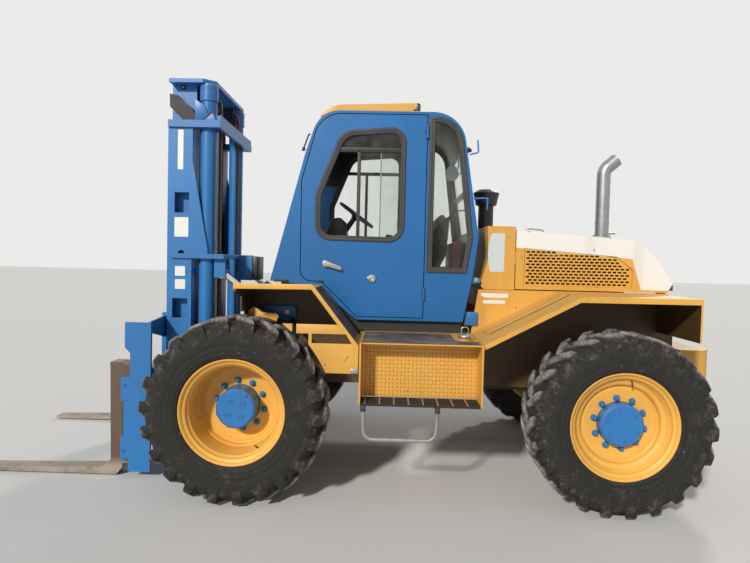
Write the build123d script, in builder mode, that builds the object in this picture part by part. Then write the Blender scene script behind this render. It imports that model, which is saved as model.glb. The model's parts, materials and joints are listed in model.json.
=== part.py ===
from build123d import *
from math import atan2, cos, hypot, pi, sin
import os

# Rough-terrain counterbalance forklift with a two-stage vertical mast.
# Millimetres. +X is forward, +Y is the left side, +Z is up.
# The origin is on the ground at the centre of the whole machine.
# Outlines are measured from the foot of the front axle, which lies at front_axle_x.

# Overall
fork_reach = 2249.0
rear_reach = 3440.0
front_axle_x = (rear_reach - fork_reach) / 2
wheelbase = 2550.0
pin_fit = 0.3
running_gap = 6.0
seat_gap = 0.3

# Wheels
track_half = 1059.0
tyre_width = 390.0
lug_count = 22
front_tyre_radius = 625.0
rear_tyre_radius = 607.0
bead_radius = 330.0
flange_radius = 355.0
flange_half = 165.0
rim_bore = 285.0
rim_wall = 14.0
disc_thick = 16.0
front_disc_depth = 250.0
rear_disc_depth = 115.0
hub_drum_radius = 185.0
front_cap_radius = 134.5
front_cap_length = 150.0
rear_cap_radius = 142.5
rear_cap_length = 70.0
spindle_radius = 60.0

# Frame and axles
frame_half = 480.0
frame_plate = 30.0
frame_bottom = 690.0
frame_top = 1090.0
deck_top = 960.0
bay_top = 1440.0
axle_tube = 85.0
front_banjo = 200.0
rear_banjo = 165.0
axle_end = 800.0
kingpin_y = 830.0
kingpin_radius = 28.0
kingpin_boss = 55.0
kingpin_half = 90.0
steer_arm = 260.0
tie_rod_radius = 22.0

# Fenders and steps
fender_sheet = 12.0
front_fender_y = 1150.0
front_fender_inner = 546.0
rear_fender_y = 1100.0
step_front = -825.0
step_rear = -1645.0
step_bottom = 689.0
step_top = 1098.0
step_y = 1150.0
box_y = 950.0
grating_thick = 16.0
hoop_radius = 14.0
hoop_front = -856.0
hoop_rear = -1351.0
hoop_bottom = 452.0
hoop_bend = 65.0

# Counterweight, cowl and hood
weight_half = 600.0
weight_thick = 250.0
weight_front = weight_thick - rear_reach
weight_bottom = 640.0
weight_top = 1030.0
weight_corner = 120.0
tow_bore = 18.0
hood_half = frame_half - 10
hood_wall = 10.0
hood_front = -1981.0
cowl_rear = hood_front + 6
cowl_top = 1929.0
hood_hinge = (weight_front + 50, 1448.0)
hood_pin = 12.0
stack_x = weight_front + 502
stack_y = 300.0
stack_radius = 52.0
hole_size = (24.0, 13.0)
hole_pitch = (39.0, 28.0)

# Cab
cab_half = 540.0
cab_wall = 40.0
cab_sheet = 30.0
glass_thick = 6.0
gasket_width = 44.0
gasket_proud = 6.0
door_gap = 6.0
roof_z = 2771.0
cab_base = 1189.0
cab_middle = (-900.0, 2000.0)
hinge_y = cab_half + 12.0
hinge_x = -1273.0

# Mast
mast_half = 480.0
rail_front = 724.0
rail_rear = 532.0
rail_plate = 24.0
rail_flange = 20.0
outer_flange_y = 404.0
inner_face_y = 396.0
inner_flange_y = 320.0
mast_foot = 160.0
foot_rear = 335.0
cylinder_foot = 230.0
inner_top = 3010.0
top_plate = 30.0
mast_stagger = 320.0
outer_top = inner_top - mast_stagger
mast_pivot = (270.0, 560.0)
pivot_radius = 30.0
lift_x = 434.0
lift_y = 400.0
barrel_radius = 62.0
gland_radius = 70.0
lift_rod = 40.0
gland_length = 123.0
gland_top = inner_top - top_plate - 9
gland_bottom = gland_top - gland_length
rod_foot = cylinder_foot + 180
roller_radius = 70.0
chain_y = 262.0
chain_width = 30.0
chain_thick = 30.0
sheave_radius = 85.0
sheave_x = 466.0
sheave_z = inner_top - 160
sheave_pin = 15.0
chain_low = 750.0
chain_pitch = 50.8
chain_waist = 5.0

# Carriage and forks
bar_front = 934.0
bar_rear = 864.0
bar_half = 790.0
upper_bar = (574.0, 746.0)
lower_bar = (137.0, 308.0)
fork_width = 125.0
fork_y = 690.0
fork_heel = 50.0
fork_tip = 20.0
fork_floor = 12.0
shank_front = 1030.0
shank_top = 850.0
hook_gap = 0.3

# Tilt cylinders
tilt_y = 390.0
tilt_foot = (-270.0, 1090.0)
tilt_eye = (318.0, 1518.0)
tilt_barrel = 50.0
tilt_rod = 24.0
tilt_barrel_length = 520.0
tilt_pin = 20.0
tilt_inner = 325.0

strand = chain_width / 2 - 3
rear_run_x = sheave_x - sheave_radius
front_run_x = sheave_x + sheave_radius

SIDE = Plane(origin=(front_axle_x, 0, 0), x_dir=(1, 0, 0), z_dir=(0, -1, 0))
FRONT = Plane(origin=(front_axle_x, 0, 0), x_dir=(0, 1, 0), z_dir=(1, 0, 0))
TOP = Plane(origin=(front_axle_x, 0, 0), x_dir=(1, 0, 0), z_dir=(0, 0, 1))

os.makedirs("parts", exist_ok=True)


def keep(builder, name):
    """Labels a finished piece and writes it to its own file."""
    builder.part.label = name
    export_step(builder.part, f"parts/{name}.step")


def extruded(plane, points, depth, mode, corner):
    """Adds the closed outline on a plane, drawn out by a depth; a point's third value rounds its corner."""
    with BuildSketch(plane) as shape:
        with BuildLine():
            Polyline(*[point[:2] for point in points], close=True)
        make_face()
        if corner:
            fillet(shape.vertices(), corner)
        for point in points:
            if len(point) == 3:
                fillet(shape.vertices().sort_by_distance((point[0], point[1], 0))[0], point[2])
    extrude(shape.sketch, amount=depth, mode=mode)


def slab(points, y_low, y_high, mode=Mode.ADD, corner=0):
    """A plate whose outline is given in X and Z."""
    extruded(SIDE.offset(-y_high), points, y_high - y_low, mode, corner)


def bulkhead(points, x_low, x_high, mode=Mode.ADD, corner=0):
    """A plate whose outline is given in Y and Z."""
    extruded(FRONT.offset(x_low), points, x_high - x_low, mode, corner)


def deck(points, z_low, z_high, mode=Mode.ADD, corner=0):
    """A plate whose outline is given in X and Y."""
    extruded(TOP.offset(z_low), points, z_high - z_low, mode, corner)


def rect(low, high):
    """The four corners of a rectangle between two opposite ones."""
    return [(low[0], low[1]), (high[0], low[1]), (high[0], high[1]), (low[0], high[1])]


def disc(plane, centre, radius, depth, mode=Mode.ADD):
    """A round bar standing on a plane."""
    with BuildSketch(plane) as shape:
        with Locations(centre):
            Circle(radius)
    extrude(shape.sketch, amount=depth, mode=mode)


def beside(point, steps):
    """The points reached from one point by a list of steps."""
    return [(point[0] + dx, point[1] + dz) for dx, dz in steps]


def cross_bar(x, z, radius, y_low, y_high, mode=Mode.ADD):
    """A round bar along Y."""
    disc(SIDE.offset(-y_high), (x, z), radius, y_high - y_low, mode)


def post(x, y, radius, z_low, z_high, mode=Mode.ADD):
    """A round bar along Z."""
    disc(TOP.offset(z_low), (x, y), radius, z_high - z_low, mode)


def tilted_bar(start, end, y, radius, mode=Mode.ADD):
    """A round bar between two X, Z points at one Y."""
    length = hypot(end[0] - start[0], end[1] - start[1])
    plane = Plane(
        origin=(front_axle_x + start[0], y, start[1]),
        x_dir=(0, 1, 0),
        z_dir=(end[0] - start[0], 0, end[1] - start[1]),
    )
    disc(plane, (0, 0), radius, length, mode)


def turned(points, x, z, y=0.0):
    """A solid of revolution about a line along Y; points are (y, radius)."""
    plane = Plane(origin=(front_axle_x + x, y, z), x_dir=(0, 1, 0), z_dir=(1, 0, 0))
    with BuildSketch(plane) as shape:
        with BuildLine():
            Polyline(*points, close=True)
        make_face()
    axis = Axis((front_axle_x + x, y, z), (0, 1, 0))
    revolve(shape.sketch, axis=axis)


def spun(points, x, y):
    """A solid of revolution about a line along Z; points are (radius, z)."""
    with BuildSketch(Plane(origin=(front_axle_x + x, y, 0), x_dir=(1, 0, 0), z_dir=(0, -1, 0))) as shape:
        with BuildLine():
            Polyline(*points, close=True)
        make_face()
    revolve(shape.sketch, axis=Axis((front_axle_x + x, y, 0), (0, 0, 1)))


def contains(points, spot):
    """Whether a spot lies inside a convex outline."""
    turns = [
        (b[0] - a[0]) * (spot[1] - a[1]) - (b[1] - a[1]) * (spot[0] - a[0])
        for a, b in zip(points, points[1:] + points[:1])
    ]
    return min(turns) > 0 or max(turns) < 0


def inset(points, wall):
    """The closed outline moved inwards by a wall, with mitred corners; convex rounded ones keep their centres."""
    area = sum(a[0] * b[1] - b[0] * a[1] for a, b in zip(points, points[1:] + points[:1]))
    turn = 1 if area > 0 else -1
    moved = []
    for before, here, after in zip(points[-1:] + points[:-1], points, points[1:] + points[:1]):
        first = atan2(here[1] - before[1], here[0] - before[0])
        second = atan2(after[1] - here[1], after[0] - here[0])
        half = (second - first) / 2
        normal = first + half + turn * pi / 2
        reach = wall / cos(half)
        rounding = tuple(radius - wall for radius in here[2:] if radius > wall)
        moved.append((here[0] + reach * cos(normal), here[1] + reach * sin(normal), *rounding))
    return moved


def along(start, end, s_low, s_high, d_low, d_high):
    """A quad beside the line from start to end, d measured to its right, which is outside the cab."""
    length = hypot(end[0] - start[0], end[1] - start[1])
    ux = (end[0] - start[0]) / length
    uz = (end[1] - start[1]) / length
    corners = [(s_low, d_low), (s_high, d_low), (s_high, d_high), (s_low, d_high)]
    return [(start[0] + s * ux + d * uz, start[1] + s * uz - d * ux) for s, d in corners]


# Wheels

wheel_rows = [
    # name, x from the front axle, tyre radius, lug height, disc depth, cap radius, cap length
    ("front", 0.0, front_tyre_radius, 36.0, front_disc_depth, front_cap_radius, front_cap_length),
    ("rear", -wheelbase, rear_tyre_radius, 26.0, rear_disc_depth, rear_cap_radius, rear_cap_length),
]
half_width = tyre_width / 2
bead_half = flange_half - 26
hub_inner = {"front": axle_end + running_gap, "rear": kingpin_y + 110.0 + running_gap}
hub_bore_end = {"front": 1010.0, "rear": 1115.0}


def tread_bar(wheel_x, radius, crown):
    """One bar of the tread at the wheel's top, from just past its middle out over the left shoulder."""
    with BuildPart(mode=Mode.PRIVATE) as bar:
        # the bar from above, its inner end ahead of its outer end
        plan = [(26, -12), (84, -12), (38, 100), (-20, half_width), (-84, half_width), (-20, 90)]
        deck([(wheel_x + x, y) for x, y in plan], radius + crown - 100, 2 * radius + 10)
        # the same bar from the front
        section = [
            (-12, crown - 20), (-12, radius - 6), (60, radius - 3), (half_width - 55, radius - 2),
            (half_width - 21, radius - 28), (half_width - 1, radius - 92), (half_width - 45, crown - 60),
        ]
        bulkhead([(y, radius + r) for y, r in section], wheel_x - 100, wheel_x + 100, mode=Mode.INTERSECT)
    return bar.part


for end, wheel_x, radius, lug_height, disc_depth, cap_radius, cap_length in wheel_rows:
    disc_y = flange_half - disc_depth
    crown = radius - lug_height

    with BuildPart() as lugged:
        half_section = [
            (60, crown), (half_width - 55, crown - 8), (half_width - 25, crown - 28), (half_width - 6, crown - 60),
            (half_width, radius - 160), (flange_half + 5, flange_radius + 5), (bead_half + 8, flange_radius + 2),
            (bead_half, bead_radius),
        ]
        turned([(-p, r) for p, r in half_section[::-1]] + half_section, wheel_x, radius)
        left_bar = tread_bar(wheel_x, radius, crown)
        right_bar = left_bar.mirror(Plane.XZ)
        axle = Axis((front_axle_x + wheel_x, 0, radius), (0, 1, 0))
        pitch = 360 / lug_count
        add([left_bar.rotate(axle, k * pitch) for k in range(lug_count)]
            + [right_bar.rotate(axle, (k + 0.5) * pitch) for k in range(lug_count)])

    for side, sign in (("left", 1), ("right", -1)):
        y = sign * track_half

        with BuildPart() as tyre:
            add(lugged.part.moved(Location((0, y, 0))))
        keep(tyre, f"tyre_{end}_{side}")

        with BuildPart() as rim:
            turned([
                (sign * p, r) for p, r in [
                    (-flange_half, flange_radius),
                    (-flange_half, rim_bore),
                    (disc_y - disc_thick, rim_bore - rim_wall),
                    (disc_y - disc_thick, cap_radius + 1),
                    (disc_y, cap_radius + 1),
                    (disc_y, rim_bore - rim_wall - 8),
                    (disc_y + 12, rim_bore - rim_wall),
                    (flange_half - 24, rim_bore),
                    (flange_half, flange_radius - 30),
                    (flange_half, flange_radius),
                    (flange_half - 14, flange_radius),
                    (bead_half + 4, bead_radius - pin_fit),
                    (-bead_half - 4, bead_radius - pin_fit),
                    (-flange_half + 14, flange_radius),
                ]
            ], wheel_x, radius, y)
        keep(rim, f"rim_{end}_{side}")

        with BuildPart() as hub:
            start = hub_inner[end] - track_half
            bore_end = hub_bore_end[end] - track_half
            seat = disc_y - disc_thick
            turned([
                (sign * p, r) for p, r in [
                    (start, spindle_radius + pin_fit),
                    (start, hub_drum_radius - 20),
                    (start + 20, hub_drum_radius),
                    (seat, hub_drum_radius),
                    (seat, cap_radius),
                    (disc_y + cap_length - 14, cap_radius),
                    (disc_y + cap_length, cap_radius - 14),
                    (disc_y + cap_length, 0),
                    (bore_end, 0),
                    (bore_end, spindle_radius + pin_fit),
                ]
            ], wheel_x, radius, y)
        keep(hub, f"hub_{end}_{side}")

# Frame

with BuildPart() as frame:
    bay_front = -1650.0
    frame_side = [
        (308, 505), (308, 600), (285, 650), (180, 900), (60, frame_top),
        (bay_front, frame_top), (-1700, bay_top), (weight_front + 50, bay_top),
        (weight_front, bay_top - 60), (weight_front, frame_bottom),
        (-140, frame_bottom), (-120, 715), (120, 715), (190, 650), (235, 505),
    ]
    slab(frame_side, frame_half - frame_plate, frame_half)
    cross_bar(*mast_pivot, pivot_radius, frame_half - frame_plate - 45, frame_half)
    # bracket beside the tilt cylinder's foot
    slab([(92, 1020), (70, 1215), (12, 1282), (-43, 1238), (-140, 1230), (-152, 1212), (-136, 1165), (-140, 1020)],
         frame_half, frame_half + 14)
    # ear and pin of the hood's hinge
    slab(beside(hood_hinge, [(-20, -148), (-20, 16), (16, 16), (16, -148)]), 380, 400)
    cross_bar(*hood_hinge, hood_pin, 345, 400)
    mirror(about=Plane.XZ)
    inner = frame_half - frame_plate
    cross_plates = [
        # low and high X, low and high Z
        (20, 50, 840, frame_top),
        (-640, -610, frame_bottom, frame_top),
        (-1640, -1600, 980, frame_top),
        (-2230, -2170, 740, 800),
        (-2760, -2700, 740, 800),
        (weight_front, weight_front + 30, frame_bottom, bay_top - 70),
    ]
    for x_low, x_high, z_low, z_high in cross_plates:
        bulkhead(rect((-inner, z_low), (inner, z_high)), x_low, x_high)
    deck(rect((-610, -inner), (20, inner)), deck_top - 20, deck_top)
keep(frame, "frame")

with BuildPart() as front_axle:
    z = front_tyre_radius
    turned([
        (-1005, 0), (-1005, spindle_radius), (-axle_end, spindle_radius), (-axle_end, axle_tube + 25),
        (-axle_end + 40, axle_tube), (-290, axle_tube), (-110, front_banjo - 30), (-60, front_banjo),
        (60, front_banjo), (110, front_banjo - 30), (290, axle_tube), (axle_end - 40, axle_tube),
        (axle_end, axle_tube + 25), (axle_end, spindle_radius), (1005, spindle_radius), (1005, 0),
    ], 0, z)
    for sign in (1, -1):
        pad = frame_half - frame_plate / 2
        slab(rect((-90, z), (90, 715)), sign * pad - 40, sign * pad + 40)
keep(front_axle, "front_axle")

with BuildPart() as rear_axle:
    z = rear_tyre_radius
    turned([
        (-kingpin_y, 0), (-kingpin_y, axle_tube - 15), (-290, axle_tube - 10), (-110, rear_banjo - 30),
        (-60, rear_banjo), (60, rear_banjo), (110, rear_banjo - 30), (290, axle_tube - 10),
        (kingpin_y, axle_tube - 15), (kingpin_y, 0),
    ], -wheelbase, z)
    for sign in (1, -1):
        pad = frame_half - frame_plate / 2
        post(-wheelbase, sign * kingpin_y, kingpin_boss, z - kingpin_half, z + kingpin_half)
        post(-wheelbase, sign * kingpin_y, kingpin_radius, z - kingpin_half - 50, z + kingpin_half + 50)
        slab(rect((-wheelbase - 80, z), (-wheelbase + 80, frame_bottom)), sign * pad - 40, sign * pad + 40)
keep(rear_axle, "rear_axle")

with BuildPart() as powertrain:
    # engine and its gearbox, a transfer box, and the shafts to both axles
    engine_rear = weight_front + 340
    slab([(engine_rear, 800), (engine_rear, 1600), (engine_rear + 90, 1700), (-2180, 1700), (-2100, 1600),
          (-2100, 1150), (-1800, 1050), (-1660, 1000), (-1660, 800)], -250, 250)
    slab([(-1595, 760), (-1595, 1000), (-1340, 1000), (-1280, 940), (-1280, 560), (-1540, 560)], -170, 170)
    slab(rect((-1662, 840), (-1594, 960)), -60, 60)
    tilted_bar((-1282, 640), (-front_banjo - 0.5, 630), 0, 38)
    tilted_bar((-1538, 600), (-wheelbase + rear_banjo + 0.5, 605), 0, 38)
    bulkhead(rect((-inner, 800), (inner, 850)), -1560, -1500)
keep(powertrain, "powertrain")

# Knuckles and tie rod

for side, sign in (("left", 1), ("right", -1)):
    with BuildPart() as knuckle:
        z = rear_tyre_radius
        arm_low = kingpin_half + running_gap
        arm_high = arm_low + 32
        web_y = sorted((sign * (kingpin_y + 62), sign * (kingpin_y + 110)))
        for z_low, z_high in ((z - arm_high, z - arm_low), (z + arm_low, z + arm_high)):
            y_far = sign * (kingpin_y + 110)
            deck([(-wheelbase - 45, sign * kingpin_y), (-wheelbase - 45, y_far),
                  (-wheelbase + 45, y_far), (-wheelbase + 45, sign * kingpin_y)], z_low, z_high)
            post(-wheelbase, sign * kingpin_y, 48, z_low, z_high)
        slab(rect((-wheelbase - 70, z - arm_high), (-wheelbase + 70, z + arm_high)), *web_y)
        deck([(-wheelbase + 20, sign * kingpin_y - 40), (-wheelbase + 20, sign * kingpin_y + 40),
              (-wheelbase - steer_arm, sign * kingpin_y + 28), (-wheelbase - steer_arm, sign * kingpin_y - 28)],
             z - arm_high, z - arm_low)
        post(-wheelbase - steer_arm, sign * kingpin_y, 28, z - arm_high, z - arm_low)
        post(-wheelbase - steer_arm, sign * kingpin_y, 14, z - arm_high - 44, z - arm_high)
        spindle = sorted((sign * (kingpin_y + 105), sign * (hub_bore_end["rear"] - 5)))
        cross_bar(-wheelbase, z, spindle_radius, *spindle)
        post(-wheelbase, sign * kingpin_y, kingpin_radius + pin_fit, z - arm_high - 20, z + arm_high + 20,
             mode=Mode.SUBTRACT)
    keep(knuckle, f"knuckle_{side}")

with BuildPart() as tie_rod:
    rod_z = rear_tyre_radius - kingpin_half - running_gap - 32 - 22
    cross_bar(-wheelbase - steer_arm, rod_z, tie_rod_radius - 2, -kingpin_y + 20, kingpin_y - 20)
    for sign in (1, -1):
        post(-wheelbase - steer_arm, sign * kingpin_y, 26, rod_z - 20, rod_z + 20)
        post(-wheelbase - steer_arm, sign * kingpin_y, 14 + pin_fit, rod_z - 30, rod_z + 30,
             mode=Mode.SUBTRACT)
keep(tie_rod, "tie_rod")

# Fenders and steps

with BuildPart() as front_fenders:
    y = front_fender_y
    top = 1470.0
    nose = 20.0
    edge = 36.0
    under = top - fender_sheet
    knee = (-505, top)
    foot = (step_front + 5, step_top - 22)
    slab([(nose, top), knee, foot, (foot[0], foot[1] - 16), (knee[0] - 5, under), (nose, under)],
         front_fender_inner, y)
    # outer face: a narrow edge, a bar, and the plate behind the wheel
    slab([(nose, top), knee, foot, (foot[0] + 2, 891), (-606, 891), (-545, 1000), (-470, 1090), (-400, 1150),
          (-310, 1213), (-677, 1213), (knee[0] + 6, top - edge), (nose, top - edge)], y - fender_sheet, y)
    slab(rect((-773, 1088), (-508, 1150)), y - fender_sheet, y, mode=Mode.SUBTRACT)
    bulkhead(rect((front_fender_inner, top - edge), (y, top)), nose - fender_sheet, nose)
    # inner wall and the shelf that joins it to the frame
    slab([(nose, deck_top), (nose, under), (knee[0] - 5, under), (foot[0] + 20, foot[1] + 12),
          (foot[0] + 20, deck_top)], front_fender_inner, front_fender_inner + fender_sheet)
    slab(rect((foot[0] + 30, deck_top), (nose, deck_top + fender_sheet)), frame_half, front_fender_inner)
    mirror(about=Plane.XZ)
keep(front_fenders, "front_fenders")

with BuildPart() as rear_fenders:
    y = rear_fender_y
    foot = (step_rear - 7, step_top)
    knee = (260 - wheelbase, 1434)
    tail = (weight_front + 114, 1437)
    for depth, y_low in ((fender_sheet, frame_half), (38, y - fender_sheet)):
        under = [(tail[0], tail[1] - depth), (knee[0] + depth / 4, knee[1] - depth), (foot[0], foot[1] - depth)]
        slab([foot, knee, tail, *under], y_low, y)
    bulkhead(rect((frame_half, 1147), (y, tail[1] - 7)), tail[0], tail[0] + fender_sheet)
    mirror(about=Plane.XZ)
keep(rear_fenders, "rear_fenders")

with BuildPart() as step_boxes:
    end_plate = 12.0
    slab(rect((step_rear, step_bottom), (step_rear + end_plate, step_top)), frame_half, step_y)
    slab(rect((step_front - end_plate, step_bottom), (step_front, step_top)), frame_half, step_y)
    slab(rect((step_rear + end_plate, step_bottom + 12), (step_front - end_plate, step_top - 10)),
         frame_half, box_y)
    slab(rect((step_rear + end_plate, step_top - 10), (step_front - end_plate, step_top)),
         frame_half, step_y - 20)
    mirror(about=Plane.XZ)
keep(step_boxes, "step_boxes")

with BuildPart() as steps:
    bar = 8.0
    tread_front = step_front - end_plate
    tread_rear = step_rear + end_plate
    for x in (tread_rear, (tread_front + tread_rear) / 2 - bar / 2, tread_front - bar):
        slab(rect((x, step_bottom - 8), (x + bar, step_bottom - 8 + grating_thick)), box_y + 6, step_y)
    for k in range(6):
        y_bar = box_y + 6 + k * (step_y - box_y - 6 - bar) / 5
        slab(rect((tread_rear, step_bottom - 8), (tread_front, step_bottom - 8 + grating_thick)),
             y_bar, y_bar + bar)
    mirror(about=Plane.XZ)
    hoop_y = step_y - 20
    base = step_bottom - 6
    with BuildLine() as hoop_line:
        FilletPolyline(
            (front_axle_x + hoop_front, hoop_y, base), (front_axle_x + hoop_front - 8, hoop_y, hoop_bottom),
            (front_axle_x + hoop_rear + 8, hoop_y, hoop_bottom), (front_axle_x + hoop_rear, hoop_y, base),
            radius=hoop_bend,
        )
    with BuildSketch(Plane(origin=hoop_line.line @ 0, z_dir=hoop_line.line % 0)) as hoop_section:
        Circle(hoop_radius)
    sweep(hoop_section.sketch, path=hoop_line.line)
keep(steps, "steps")

# Counterweight, cowl, hood

with BuildPart() as counterweight:
    deck(rect((-rear_reach, -weight_half), (weight_front, weight_half)), weight_bottom, weight_top)
    corners = counterweight.edges().filter_by(Axis.Z).sort_by(Axis.X)[:2]
    fillet(corners, weight_corner)
    bulkhead(rect((-90, 770), (90, 880)), -rear_reach, -rear_reach + 120, mode=Mode.SUBTRACT)
    post(-rear_reach + 60, 0, tow_bore, weight_bottom, weight_top, mode=Mode.SUBTRACT)
keep(counterweight, "counterweight")

with BuildPart() as cowl:
    slab([(-1757, cowl_top), (cowl_rear, cowl_top), (cowl_rear, bay_top + 2), (-1702, bay_top + 2, 40),
          (-1770, cowl_top - 250, 300)], -hood_half, hood_half)
    slab(rect((cowl_rear, bay_top - 160), (-1740, bay_top + 2)), -inner + seat_gap, inner - seat_gap)
keep(cowl, "cowl")

hood_outline = [
    (hood_front, hood_hinge[1]), (hood_front, cowl_top - 24), (weight_front + 282, cowl_top - 84),
    (weight_front + 108, 1684),
    (weight_front + 10, 1516), hood_hinge,
]
with BuildPart() as hood_shell:
    slab(hood_outline, -hood_half, hood_half)
    hollow = inset(hood_outline, hood_wall)
    hollow[0] = (hood_front + 1, 1440)
    hollow[1] = (hood_front + 1, hollow[1][1])
    hollow[-1] = (hollow[-2][0] + 60, 1440)
    slab(hollow, -hood_half + hood_wall, hood_half - hood_wall, mode=Mode.SUBTRACT)
    grille_outline = [(hood_front - 64, 1478), (hood_front - 64, 1767), (weight_front + 440, 1715),
                      (weight_front + 317, 1618), (weight_front + 317, 1478)]
    slab(grille_outline, hood_half - hood_wall, hood_half, mode=Mode.SUBTRACT)
    slab(grille_outline, -hood_half, -hood_half + hood_wall, mode=Mode.SUBTRACT)
    for y_low, y_high in ((350, 374), (-374, -350)):
        slab(beside(hood_hinge, [(-28, 52), (35, 52), (35, -8), (15, -24), (-15, -24), (-20, -8)]), y_low, y_high)
    cross_bar(*hood_hinge, hood_pin + pin_fit, -400, 400, mode=Mode.SUBTRACT)
    for y_low, y_high in ((374, 406), (-406, -374)):
        slab(beside(hood_hinge, rect((-50, -18), (40, 52))), y_low, y_high, mode=Mode.SUBTRACT)
keep(hood_shell, "hood_shell")

with BuildPart() as hood_grilles:
    slab(grille_outline, hood_half - hood_wall + 1, hood_half - 3)
    # staggered rows of oblong holes
    margin = inset(grille_outline, hole_size[1])
    rows = int((margin[1][1] - margin[0][1]) / hole_pitch[1]) + 1
    columns = int((margin[0][0] - margin[3][0]) / hole_pitch[0]) + 2
    spots = [
        (margin[0][0] - (column + row % 2 / 2) * hole_pitch[0], margin[0][1] + row * hole_pitch[1])
        for row in range(rows) for column in range(columns)
    ]
    with BuildSketch(SIDE.offset(-hood_half)) as holes:
        with Locations(*[spot for spot in spots if contains(grille_outline, (spot[0] - hole_size[0] / 2, spot[1]))
                         and contains(grille_outline, (spot[0] + hole_size[0] / 2, spot[1] + 8))]):
            Rectangle(*hole_size)
    extrude(holes.sketch, amount=hood_wall, mode=Mode.SUBTRACT)
    mirror(about=Plane.XZ)
keep(hood_grilles, "hood_grilles")

with BuildPart() as exhaust_stack:
    hood_slope = (hood_outline[1][1] - hood_outline[2][1]) / (hood_outline[1][0] - hood_outline[2][0])
    foot_z = hood_outline[2][1] + (stack_x - hood_outline[2][0]) * hood_slope
    post(stack_x, stack_y, stack_radius + 14, foot_z - 20, foot_z + 16)
    with BuildLine() as stack_line:
        FilletPolyline(
            (front_axle_x + stack_x, stack_y, foot_z - 20),
            (front_axle_x + stack_x, stack_y, 2400),
            (front_axle_x + stack_x - 95, stack_y, 2483),
            radius=90,
        )
    with BuildSketch(Plane(origin=stack_line.line @ 0, z_dir=stack_line.line % 0)) as stack_section:
        Circle(stack_radius)
    sweep(stack_section.sketch, path=stack_line.line)
    slab([(hood_outline[2][0], 1600), (hood_front, 1600), hood_outline[1], hood_outline[2]], 0, 600,
         mode=Mode.SUBTRACT)
keep(exhaust_stack, "exhaust_stack")

with BuildPart() as air_cleaner:
    # stack, then a bowl that widens to its domed lid
    bowl = cowl_top + 220
    spun([(0, cowl_top), (66, cowl_top), (66, bowl), (82, bowl), (94, bowl + 14), (98, bowl + 46), (112, bowl + 101),
          (112, bowl + 113), (70, bowl + 139), (0, bowl + 141)], -1850, -200)
keep(air_cleaner, "air_cleaner")

with BuildPart() as tail_lamps:
    bulkhead(rect((860, 1200), (960, 1322)), tail[0] - 18, tail[0], corner=12)
    mirror(about=Plane.XZ)
keep(tail_lamps, "tail_lamps")

# Cab

cab_outline = [
    (-97, 1470), (-355, 2462, 800), (-460, roof_z, 208), (-1531, roof_z, 250), (-1679, 1837, 80), (-1642, 1533),
    (-1577, cab_base), (-767, cab_base), (-429, 1444),
]
door_top = roof_z - 26
door_outline = [
    (-466, door_top, 205), (-329, 2238, 150), (-331, 1477, 85), (-494, 1477, 40), (-767, cab_base + 26, 25),
    (-1270, cab_base + 26), (-1270, door_top),
]
window_outline = [
    (-434, 2140, 80), (-627, roof_z - 151, 150), (-1119, roof_z - 110, 120), (-1119, 1778, 125), (-434, 1787, 125),
]
quarter_top = roof_z - 33
quarter_outline = [
    (-1290, quarter_top), (-1528, quarter_top, 212), (-1640, 1830, 60), (-1598, 1557), (-1290, 1557),
]
inner_cab = inset(cab_outline, cab_sheet)
door_opening = inset(door_outline, -door_gap)
# where the skin's front, roof, rear and floor panels meet
joint_front = (-390, roof_z - 206)
joint_rear = (-1566, roof_z - 220)
joint_foot = cab_outline[6]
joint_toe = cab_outline[0]


def floor_top(x):
    """Height of the cab floor's upper face at one x."""
    run = [inner_cab[6], inner_cab[7], inner_cab[8], inner_cab[0]]
    for (x_a, z_a), (x_b, z_b) in zip(run, run[1:]):
        if x_a <= x <= x_b:
            return z_a + (z_b - z_a) * (x - x_a) / (x_b - x_a)
    raise ValueError("x is outside the floor")


def skin(first, last):
    """The cab's skin between two joints, as seen from the cab's middle, and between its side walls."""
    reach = cab_half - cab_wall
    slab(cab_outline, -reach, reach)
    slab(inner_cab, -reach, reach, mode=Mode.SUBTRACT)
    far = [tuple(m + 3 * (j - m) for m, j in zip(cab_middle, joint)) for joint in (first, last)]
    slab([cab_middle, *far], -reach, reach, mode=Mode.INTERSECT)


with BuildPart() as cab_left:
    slab(cab_outline, cab_half - cab_wall, cab_half)
    slab(door_opening, cab_half - cab_wall, cab_half, mode=Mode.SUBTRACT)
    slab(quarter_outline, cab_half - cab_wall, cab_half, mode=Mode.SUBTRACT)
    for z_hinge in (1395, 2620):
        post(hinge_x, hinge_y, 10, z_hinge - 50, z_hinge)
        slab(rect((hinge_x - 16, z_hinge - 50), (hinge_x - 4, z_hinge)), cab_half, cab_half + 5)
keep(cab_left, "cab_left")

with BuildPart() as cab_right:
    slab(cab_outline, -cab_half, -cab_half + cab_wall)
    slab(window_outline, -cab_half, -cab_half + cab_wall, mode=Mode.SUBTRACT)
    slab(quarter_outline, -cab_half, -cab_half + cab_wall, mode=Mode.SUBTRACT)
keep(cab_right, "cab_right")

# low and high stretch along each pane's edge, then the pane's half width
front_edge = (cab_outline[0][:2], cab_outline[1][:2])
rear_edge = (cab_outline[3][:2], cab_outline[4][:2])
panes = {
    "front": [(*front_edge, 110, 640, 440), (*front_edge, 690, 980, 440)],
    "rear": [(*rear_edge, 265, 560, 410), (*rear_edge, 600, 890, 410)],
}

with BuildPart() as cab_front:
    skin(joint_toe, joint_front)
    for start, end, s_low, s_high, half in panes["front"]:
        slab(along(start, end, s_low, s_high, -60, 60), -half, half, mode=Mode.SUBTRACT)
keep(cab_front, "cab_front")

with BuildPart() as cab_roof:
    skin(joint_front, joint_rear)
keep(cab_roof, "cab_roof")

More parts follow.
